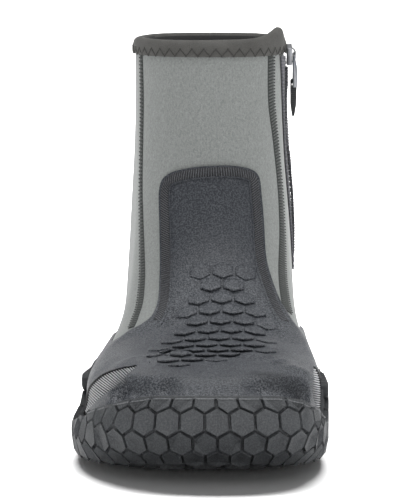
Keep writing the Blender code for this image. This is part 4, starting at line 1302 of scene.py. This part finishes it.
seam_dark = thread_finish("seam_thread_dark", (0.016, 0.018, 0.017), (0.036, 0.04, 0.038))
seam_light = thread_finish("seam_thread_light", (0.05, 0.054, 0.052), (0.09, 0.096, 0.093))
SEAM_KINDS = (("lateral", 1, 0.3, 1.75, 1.7), ("medial", 2, -0.2, 1.45, 2.5))
for side, column, lean, pitch, half in SEAM_KINDS:
    trail = seam_trail(column)
    section = [(across * half, up) for across, up in SEAM_SECTION]
    strip = ribbon("seam_strip_" + side, trail, section, 2.0)
    thicken(strip, 0.25)
    show(strip, "boot", "seam_thread", seam_dark, stands_for=("seam_" + side,))
    spots = np.arange(0.9, trail.length - 0.9, pitch)
    maps = [seam_bar(trail, s, lean, half) for s in spots]
    bars = copies("seam_bars_" + side, bar("seam_bar", sides=6, cuts=3, taper=0.7), maps)
    show(bars, "boot", "seam_thread", seam_light)
    edge = half if side == "lateral" else -half
    maps = [seam_tooth(trail, s + pitch / 2, edge) for s in spots]
    fringe = copies("seam_teeth_" + side, bar("seam_tooth", sides=6, cuts=1, taper=0.6), maps)
    show(fringe, "boot", "seam_thread", seam_dark)

# %% [markdown]
# ## Collar binding
#
# A woven tape is folded over the collar's raw edge and held by a zigzag stitch. A new
# ribbon could be swept round the edge, but the CAD solid already rises with it, so the
# tape is a copy, smoothed so that it rolls over. Each leg of the zigzag is one stitch
# between two rows of needle holes, one high on the tape and one along its lower edge.

# %% binding
binding = copy_of("collar_binding", "collar_binding_tape")
edit_all(binding)
bpy.ops.mesh.tris_convert_to_quads(
    face_threshold=math.radians(60), shape_threshold=math.radians(60), topology_influence=1.5
)
bpy.ops.object.mode_set(mode="OBJECT")
finish_with(binding, "SUBSURF", levels=2, render_levels=2)
smooth(binding, 60)
binding_weave = Finish("binding_weave", Roughness=0.9)
warp = binding_weave.noise(0.5, 2.0, binding_weave.stretched(1.0, 1.0, 3.0))
tone = binding_weave.noise(9.0, 2.0)
yarn = binding_weave.between(warp * 0.6 + tone * 0.4, 0.35, 0.65)
tape_colour = binding_weave.blend(grey(0.04, 0.039, 0.036), grey(0.072, 0.071, 0.067), yarn)
weave = binding_weave.paint(tape_colour, None, warp, 0.12, 0.8)
# The dark plush is the lining's own colour, and on the tape inside the collar it is painted shade.
lining = Finish("plush_lining_and_collar_shade", Roughness=0.95, Sheen_Weight=0.1)
pile = lining.noise(0.9, 3.0)
plush_colour = lining.blend(grey(0.009, 0.0092, 0.0095), grey(0.02, 0.0205, 0.021), pile)
plush_and_collar_shade = lining.paint(plush_colour, None, pile, 0.25, 0.7)
LEG_MIDDLE_Y = 79.5
COLLAR = ((23.8, 178.0), (60.0, 179.4), (95.0, 179.4), (135.0, 181.0))


def collar_height(y):
    return float(np.interp(y, [c[0] for c in COLLAR], [c[1] for c in COLLAR]))


# Inside the collar the tape's own faces take the dark lining finish: painted shade where the
# opening is in shadow.
for face in binding.data.polygons:
    spot = face.center / MM - DRAWING_TO_FRAME
    inwards = Vector((-spot.x, LEG_MIDDLE_Y - spot.y, 0.0))
    shaded_inside = spot.z < collar_height(spot.y) and face.normal.dot(inwards) > 0
    face.material_index = 1 if shaded_inside else 0
show(binding, "boot", "binding", weave, plush_and_collar_shade, stands_for=("collar_binding",))


# %% stitches on the collar
ZIGZAG_TOP, ZIGZAG_FOOT, LEG_HALF, LEG_CLEAR = 3.2, 6.5, 54.0, 120.0
collar_tree = tree_of(upper, binding)


def collar_hit(turn, below, within=False):
    """Place on the collar at a turn round the leg, below its edge, outside or within."""
    middle = Vector((0.0, LEG_MIDDLE_Y))
    ray = Vector((math.sin(turn), -math.cos(turn)))
    z = collar_height(middle.y + ray.y * LEG_HALF) - below
    if within:
        return drop(collar_tree, at(middle.x, middle.y, z), Vector((ray.x, ray.y, 0.0)))
    spot = middle + ray * LEG_CLEAR
    return drop(collar_tree, at(spot.x, spot.y, z), Vector((-ray.x, -ray.y, 0.0)))


def stitch_between(start, end, normal, width, rise):
    """A thread from hole to hole, arched a little over the cloth."""
    along = end - start
    side = normal.cross(along).normalized()

    def place(x, y, z):
        arch = rise * (1 - 4 * x * x) - 0.15
        lift = normal * ((arch + z * width) * MM)
        return start + along * (x + 0.5) + side * (y * width * MM) + lift

    return place


def along_leg(trail):
    return lambda x, y, z: trail.place((x + 0.5) * trail.length, y * 0.45, z * 0.45 + 0.1)


def needle_hole(spot, normal, width):
    """A dark stub, sunk in the cloth where the needle went through."""
    side = normal.orthogonal().normalized()
    other = normal.cross(side)

    def place(x, y, z):
        return spot + (normal * (x * 0.4 + 0.12) + side * (y * width) + other * (z * width)) * MM

    return place


print("front of the collar:", collar_hit(0.0, ZIGZAG_FOOT)[0])

# %% zigzag stitch
ZIGZAG_PITCH, ZIGZAG_MIDDLE, HOLE_WIDTH, FIRST_TURN, LAST_TURN = 5.5, 5.0, 0.95, 70, 413
sweep = np.linspace(math.radians(FIRST_TURN), math.radians(LAST_TURN), 1400)
round_collar = Trail([collar_hit(a, ZIGZAG_MIDDLE) for a in sweep])
legs = int(round_collar.length / ZIGZAG_PITCH * 2)
marks = [k / legs * round_collar.length for k in range(legs + 1)]
turns = [float(np.interp(mark, round_collar.s, sweep)) for mark in marks]
depths = [ZIGZAG_TOP if k % 2 else ZIGZAG_FOOT for k in range(legs + 1)]


def leg_line(k, within):
    """The places along one leg, from needle hole to needle hole."""
    turn, depth = turns[k + 1] - turns[k], depths[k + 1] - depths[k]
    shares = np.linspace(0.0, 1.0, 7)
    return [collar_hit(turns[k] + turn * f, depths[k] + depth * f, within) for f in shares]


maps, dots = [], []
for within in (False, True):
    maps += [along_leg(Trail(leg_line(k, within))) for k in range(legs)]
    for turn, depth in zip(turns, depths):
        dots.append(needle_hole(*collar_hit(turn, depth, within), HOLE_WIDTH))
zigzag = copies("collar_zigzag", bar("zigzag_leg", sides=6, cuts=5, taper=0.7), maps)
collar_thread = thread_finish("collar_thread", (0.014, 0.013, 0.012), (0.035, 0.034, 0.031))
show(zigzag, "boot", "seam_thread", collar_thread)
needle_holes = copies("collar_needle_holes", bar("needle_hole", sides=8, cuts=1, taper=0.7), dots)
show(needle_holes, "boot", "seam_thread", collar_thread)
print(legs, "zigzag legs")

# %% [markdown]
# ## Zip on the inner side
#
# A coil zip closes the inner side of the shaft: two woven tapes sewn to the neoprene,
# and two rows of teeth that mesh in the middle. The CAD tapes follow the facets of the
# solid, not the smoothed skin, so new ones are made as grids dropped on the shaft from
# the side. One tooth is modelled and copied up both rows, half a pitch apart.

# %% places beside the zip
ZIP_TOP_Y, ZIP_TOP_Z, ZIP_SLANT = 60.0, 181.0, 0.3
ZIP_FOOT, ZIP_HEAD = 70.0, 171.5
ZIP_LEAN = math.atan(ZIP_SLANT)
SLIT_HALF = 2.6


def zip_place(across, z, up):
    """Place beside the leaning zip; over the slit it spans from side to side."""
    middle = ZIP_TOP_Y + ZIP_SLANT * (ZIP_TOP_Z - z)
    place, normal = side_hit(upper_tree, 1, middle + across, z)
    if abs(across) < SLIT_HALF:
        near = [side_hit(upper_tree, 1, middle + o, z) for o in (-SLIT_HALF, SLIT_HALF)]
        share = (across + SLIT_HALF) / (2 * SLIT_HALF)
        place = near[0][0].lerp(near[1][0], share)
        normal = near[0][1].lerp(near[1][1], share).normalized()
    return place + normal * (up * MM)


def on_zip(across, along, up):
    """Place square to the zip: across it, along it from its foot, and up from the shaft."""
    z = ZIP_FOOT + along * math.cos(ZIP_LEAN) + across * math.sin(ZIP_LEAN)
    return zip_place(across / math.cos(ZIP_LEAN), z, up)


print("zip leans", round(math.degrees(ZIP_LEAN), 1), "degrees")

# %% zip tapes
TAPE_GAP, TAPE_EDGE, TAPE_LIFT, TAPE_THICK = 0.4, 15.3, 0.35, 0.7


def zip_tape(name, first, last):
    bpy.ops.object.select_all(action="DESELECT")
    bpy.ops.mesh.primitive_grid_add(x_subdivisions=8, y_subdivisions=64, size=1.0)
    made = bpy.context.object
    made.name = name
    for vertex in made.data.vertices:
        z = ZIP_FOOT + (vertex.co.y + 0.5) * (ZIP_HEAD - ZIP_FOOT)
        vertex.co = zip_place(first + (vertex.co.x + 0.5) * (last - first), z, TAPE_LIFT)
    finish_with(made, "SOLIDIFY", thickness=TAPE_THICK * MM, offset=1.0)
    round_edges(made, width=0.15, segments=2, angle=0.9)
    smooth(made, 40)
    return made


zip_weave = Finish("zip_weave", Roughness=0.8)
rows = zip_weave.bands(210.0, 0.6, detail=1.0)
lint = zip_weave.noise(0.6, 2.0)
woven = zip_weave.between(rows * 0.5 + lint * 0.5, 0.2, 0.8)
web_colour = zip_weave.blend(grey(0.05, 0.05, 0.058), grey(0.115, 0.113, 0.128), woven)
web = zip_weave.paint(web_colour, None, rows, 0.12, 0.7)
tape_front = zip_tape("zip_tape_front_woven", -TAPE_EDGE, -TAPE_GAP)
tape_back = zip_tape("zip_tape_back_woven", TAPE_GAP, TAPE_EDGE)
show(tape_front, "boot", "zip_tape", web, stands_for=("zip_tape_front",))
show(tape_back, "boot", "zip_tape", web, stands_for=("zip_tape_back",))


# %% teeth
def tooth(along, side):
    """A tooth from the tape to just past the middle, thicker at its head."""

    def place(x, y, z):
        across = side * (1.0 + x * 3.4)
        thick = 1.25 if side * across < 0.5 else 0.95
        return on_zip(across, along + y * thick, 1.85 + z * 1.5)

    return place


TOOTH_PITCH, FIRST_TOOTH, TEETH = 1.4, 3.9, 69
teeth = []
for k in range(TEETH):
    along = FIRST_TOOTH + TOOTH_PITCH * k
    teeth += [tooth(along, -1), tooth(along + TOOTH_PITCH / 2, 1)]
coil = copies("zip_teeth", bar("tooth", sides=8, cuts=3, taper=0.8), teeth)
coil_nylon = Finish("coil_nylon", Roughness=0.42)
wear = coil_nylon.noise(2.5, 2.0)
nylon = coil_nylon.paint(
    coil_nylon.blend(grey(0.03, 0.03, 0.036), grey(0.07, 0.07, 0.08), wear),
    coil_nylon.between(wear, 0.3, 0.7, 0.34, 0.55),
)
show(coil, "boot", "zip_coil", nylon, stands_for=("zip_coil",))

# %% tape stitches
STITCH_ROWS, STITCH_PITCH, STITCH_LENGTH, STITCH_UP = (-12.6, -4.6, 4.6, 12.6), 2.9, 2.3, 1.05
FIRST_STITCH, LAST_STITCH = 4.5, 100.0
sewn = []
for across in STITCH_ROWS:
    for along in np.arange(FIRST_STITCH, LAST_STITCH, STITCH_PITCH):
        ends = [on_zip(across, along + step, STITCH_UP) for step in (0.0, STITCH_LENGTH)]
        sewn.append(stitch_between(*ends, Vector((1.0, 0.0, 0.0)), width=0.5, rise=0.2))
tape_stitches = copies("zip_tape_stitches", bar("tape_stitch", sides=6, cuts=3, taper=0.6), sewn)
show(tape_stitches, "boot", "seam_thread", seam_light)

# %% [markdown]
# ### Slider, pull and tag
#
# The slider is cast metal: a body that narrows to its tail, and a bridge that holds the
# pull. A copy of its CAD solid would look too plain up close, so it is shaped again from
# a cube and a bent bar. The pull and the folded tag are CAD nodes of the moving body, so
# their copies keep the same places, with edges rounded as stamped metal and sewn webbing
# have them.

# %% slider body
SLIDER_Z, SLIDER_LENGTH, SLIDER_WIDTH, SLIDER_THICK = 171.5, 9.0, 8.0, 2.4
TAIL_SHARE, FACE_INSET, FACE_PROUD = 0.62, 0.9, 1.12
low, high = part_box("zip_slider")
face = low[0] + SLIDER_THICK * MM
middle = at(0.0, ZIP_TOP_Y, SLIDER_Z)
middle.x = low[0] + SLIDER_THICK * MM / 2
bpy.ops.object.select_all(action="DESELECT")
bpy.ops.mesh.primitive_cube_add(size=1.0, location=middle)
slider = bpy.context.object
slider.name = "zip_slider_body"
slider.scale = Vector((SLIDER_THICK, SLIDER_WIDTH, SLIDER_LENGTH)) * MM
bpy.ops.object.transform_apply(location=True, rotation=True, scale=True)
pick(slider, "VERT", lambda v: v.co.z < middle.z)
bpy.ops.transform.resize(value=(1.0, TAIL_SHARE, 1.0), center_override=middle)
bpy.ops.object.mode_set(mode="OBJECT")
pick(slider, "FACE", lambda f: abs(f.normal.x) > 0.9)
bpy.ops.mesh.inset(thickness=FACE_INSET * MM)
bpy.ops.transform.resize(value=(FACE_PROUD, 1.0, 1.0), center_override=middle)
bpy.ops.object.mode_set(mode="OBJECT")
round_edges(slider, width=0.5, segments=3, angle=0.3)
print("slider body", len(slider.data.polygons), "faces")


# %% slider bridge and metal
def bridge(x, y, z):
    """The bar bent into an arch over the face of the slider."""
    rise = (high[0] - face) / MM - 0.75
    out = rise * (1 - (2 * x) ** 4) - 0.3
    return Vector((face, middle.y, middle.z)) + Vector((out + z * 0.9, y * 2.2, x * 7.2)) * MM


arch = copies("slider_bridge", bar("arch", sides=10, cuts=11, taper=0.9), [bridge])
only(slider)
arch.select_set(True)
bpy.ops.object.join()
hang = Matrix.Translation(at(0.0, ZIP_TOP_Y, ZIP_TOP_Z))
slider.data.transform(hang @ Matrix.Rotation(ZIP_LEAN, 4, "X") @ hang.inverted())
smooth(slider, 40)
cast_metal = Finish("cast_metal", Metallic=1.0)
rub = cast_metal.noise(1.6, 3.0)
metal_colour = cast_metal.blend(grey(0.17, 0.175, 0.185), grey(0.3, 0.305, 0.32), rub)
metal_gloss = cast_metal.between(rub, 0.3, 0.7, 0.3, 0.5)
silver = cast_metal.paint(metal_colour, metal_gloss, rub, 0.05, 0.3)
show(slider, "boot", "slider_metal", silver, stands_for=("zip_slider",))
print("slider", [round(v / MM, 1) for v in slider.dimensions])

# %% pull
PULL_STEP_Z, PULL_STEP, INLAY = 168.5, 1.2, (163.6, 168.6)
pull = copy_of("zip_pull", "zip_pull_stamped")
hinge_face = max(v.co.x for v in pull.data.vertices)
pick(pull, "VERT", lambda v: v.co.x > hinge_face - 0.3 * MM and v.co.z < PULL_STEP_Z * MM)
bpy.ops.transform.translate(value=(PULL_STEP * MM, 0.0, 0.0))
bpy.ops.object.mode_set(mode="OBJECT")
round_edges(pull, width=0.22, segments=2, angle=0.7)
smooth(pull, 40)
for face in pull.data.polygons:
    face.material_index = 1 if INLAY[0] < face.center.z / MM < INLAY[1] else 0
inlay = Finish("pull_inlay", Roughness=0.4)
mottle = inlay.noise(1.2, 2.0)
navy_colour = inlay.blend(grey(0.03, 0.038, 0.052), grey(0.06, 0.072, 0.09), mottle)
navy = inlay.paint(navy_colour, None, mottle, 0.05, 0.4)
show(pull, "pull_tab", "slider_metal", silver, navy, stands_for=("zip_pull",))

# %% tag
tag = copy_of("zip_pull_tag", "zip_pull_folded_tag")
round_edges(tag, width=0.3, segments=3, angle=0.7)
smooth(tag, 45)
tag_webbing = Finish("tag_webbing", Roughness=0.7)
ribs = tag_webbing.bands(330.0, 0.5)
tag_colour = tag_webbing.blend(grey(0.006, 0.006, 0.007), grey(0.02, 0.02, 0.022), ribs)
black = tag_webbing.paint(tag_colour, None, ribs, 0.1, 0.6)
show(tag, "pull_tab", "puller", black, stands_for=("zip_pull_tag",))

# %% [markdown]
# ## Inside, and the neoprene itself
#
# The footbed is a thin foam board with a brushed cloth face. The sock's outside is a
# heathered jersey over neoprene: pale and dark fibres mixed at less than a millimetre,
# with a slow change of tone. Hair could give real fibres, but noise of two sizes looks
# the same from here. Its lining is darker and plainer.

# %% footbed
footbed = copy_of("insole", "cloth_footbed")
round_edges(footbed, width=0.6, segments=2, angle=0.9)
smooth(footbed, 40)
brushed = Finish("brushed_cloth", Roughness=0.95)
nap = brushed.noise(0.8, 3.0)
cloth_colour = brushed.blend(grey(0.02, 0.021, 0.022), grey(0.05, 0.051, 0.053), nap)
cloth = brushed.paint(cloth_colour, None, nap, 0.25, 0.8)
show(footbed, "boot", "footbed", cloth, stands_for=("insole",))

# %% neoprene
heather = Finish("heathered_neoprene", Roughness=0.95, Sheen_Weight=0.12, Sheen_Roughness=0.5)
fine = heather.noise(0.5, 2.0, None, 0.6)
fibres = heather.noise(0.8, 2.0, heather.stretched(1.0, 1.0, 0.6))
drift = heather.noise(55.0, 1.0)
mixed = heather.between(fine * 0.5 + fibres * 0.4 + drift * 0.1, 0.36, 0.66)
jersey_colour = heather.blend(grey(0.13, 0.138, 0.133), grey(0.215, 0.226, 0.22), mixed)
jersey = heather.paint(jersey_colour, None, fine + fibres, 0.1, 0.5)
show(upper, "boot", "neoprene", jersey, plush_and_collar_shade, jersey, stands_for=("upper",))
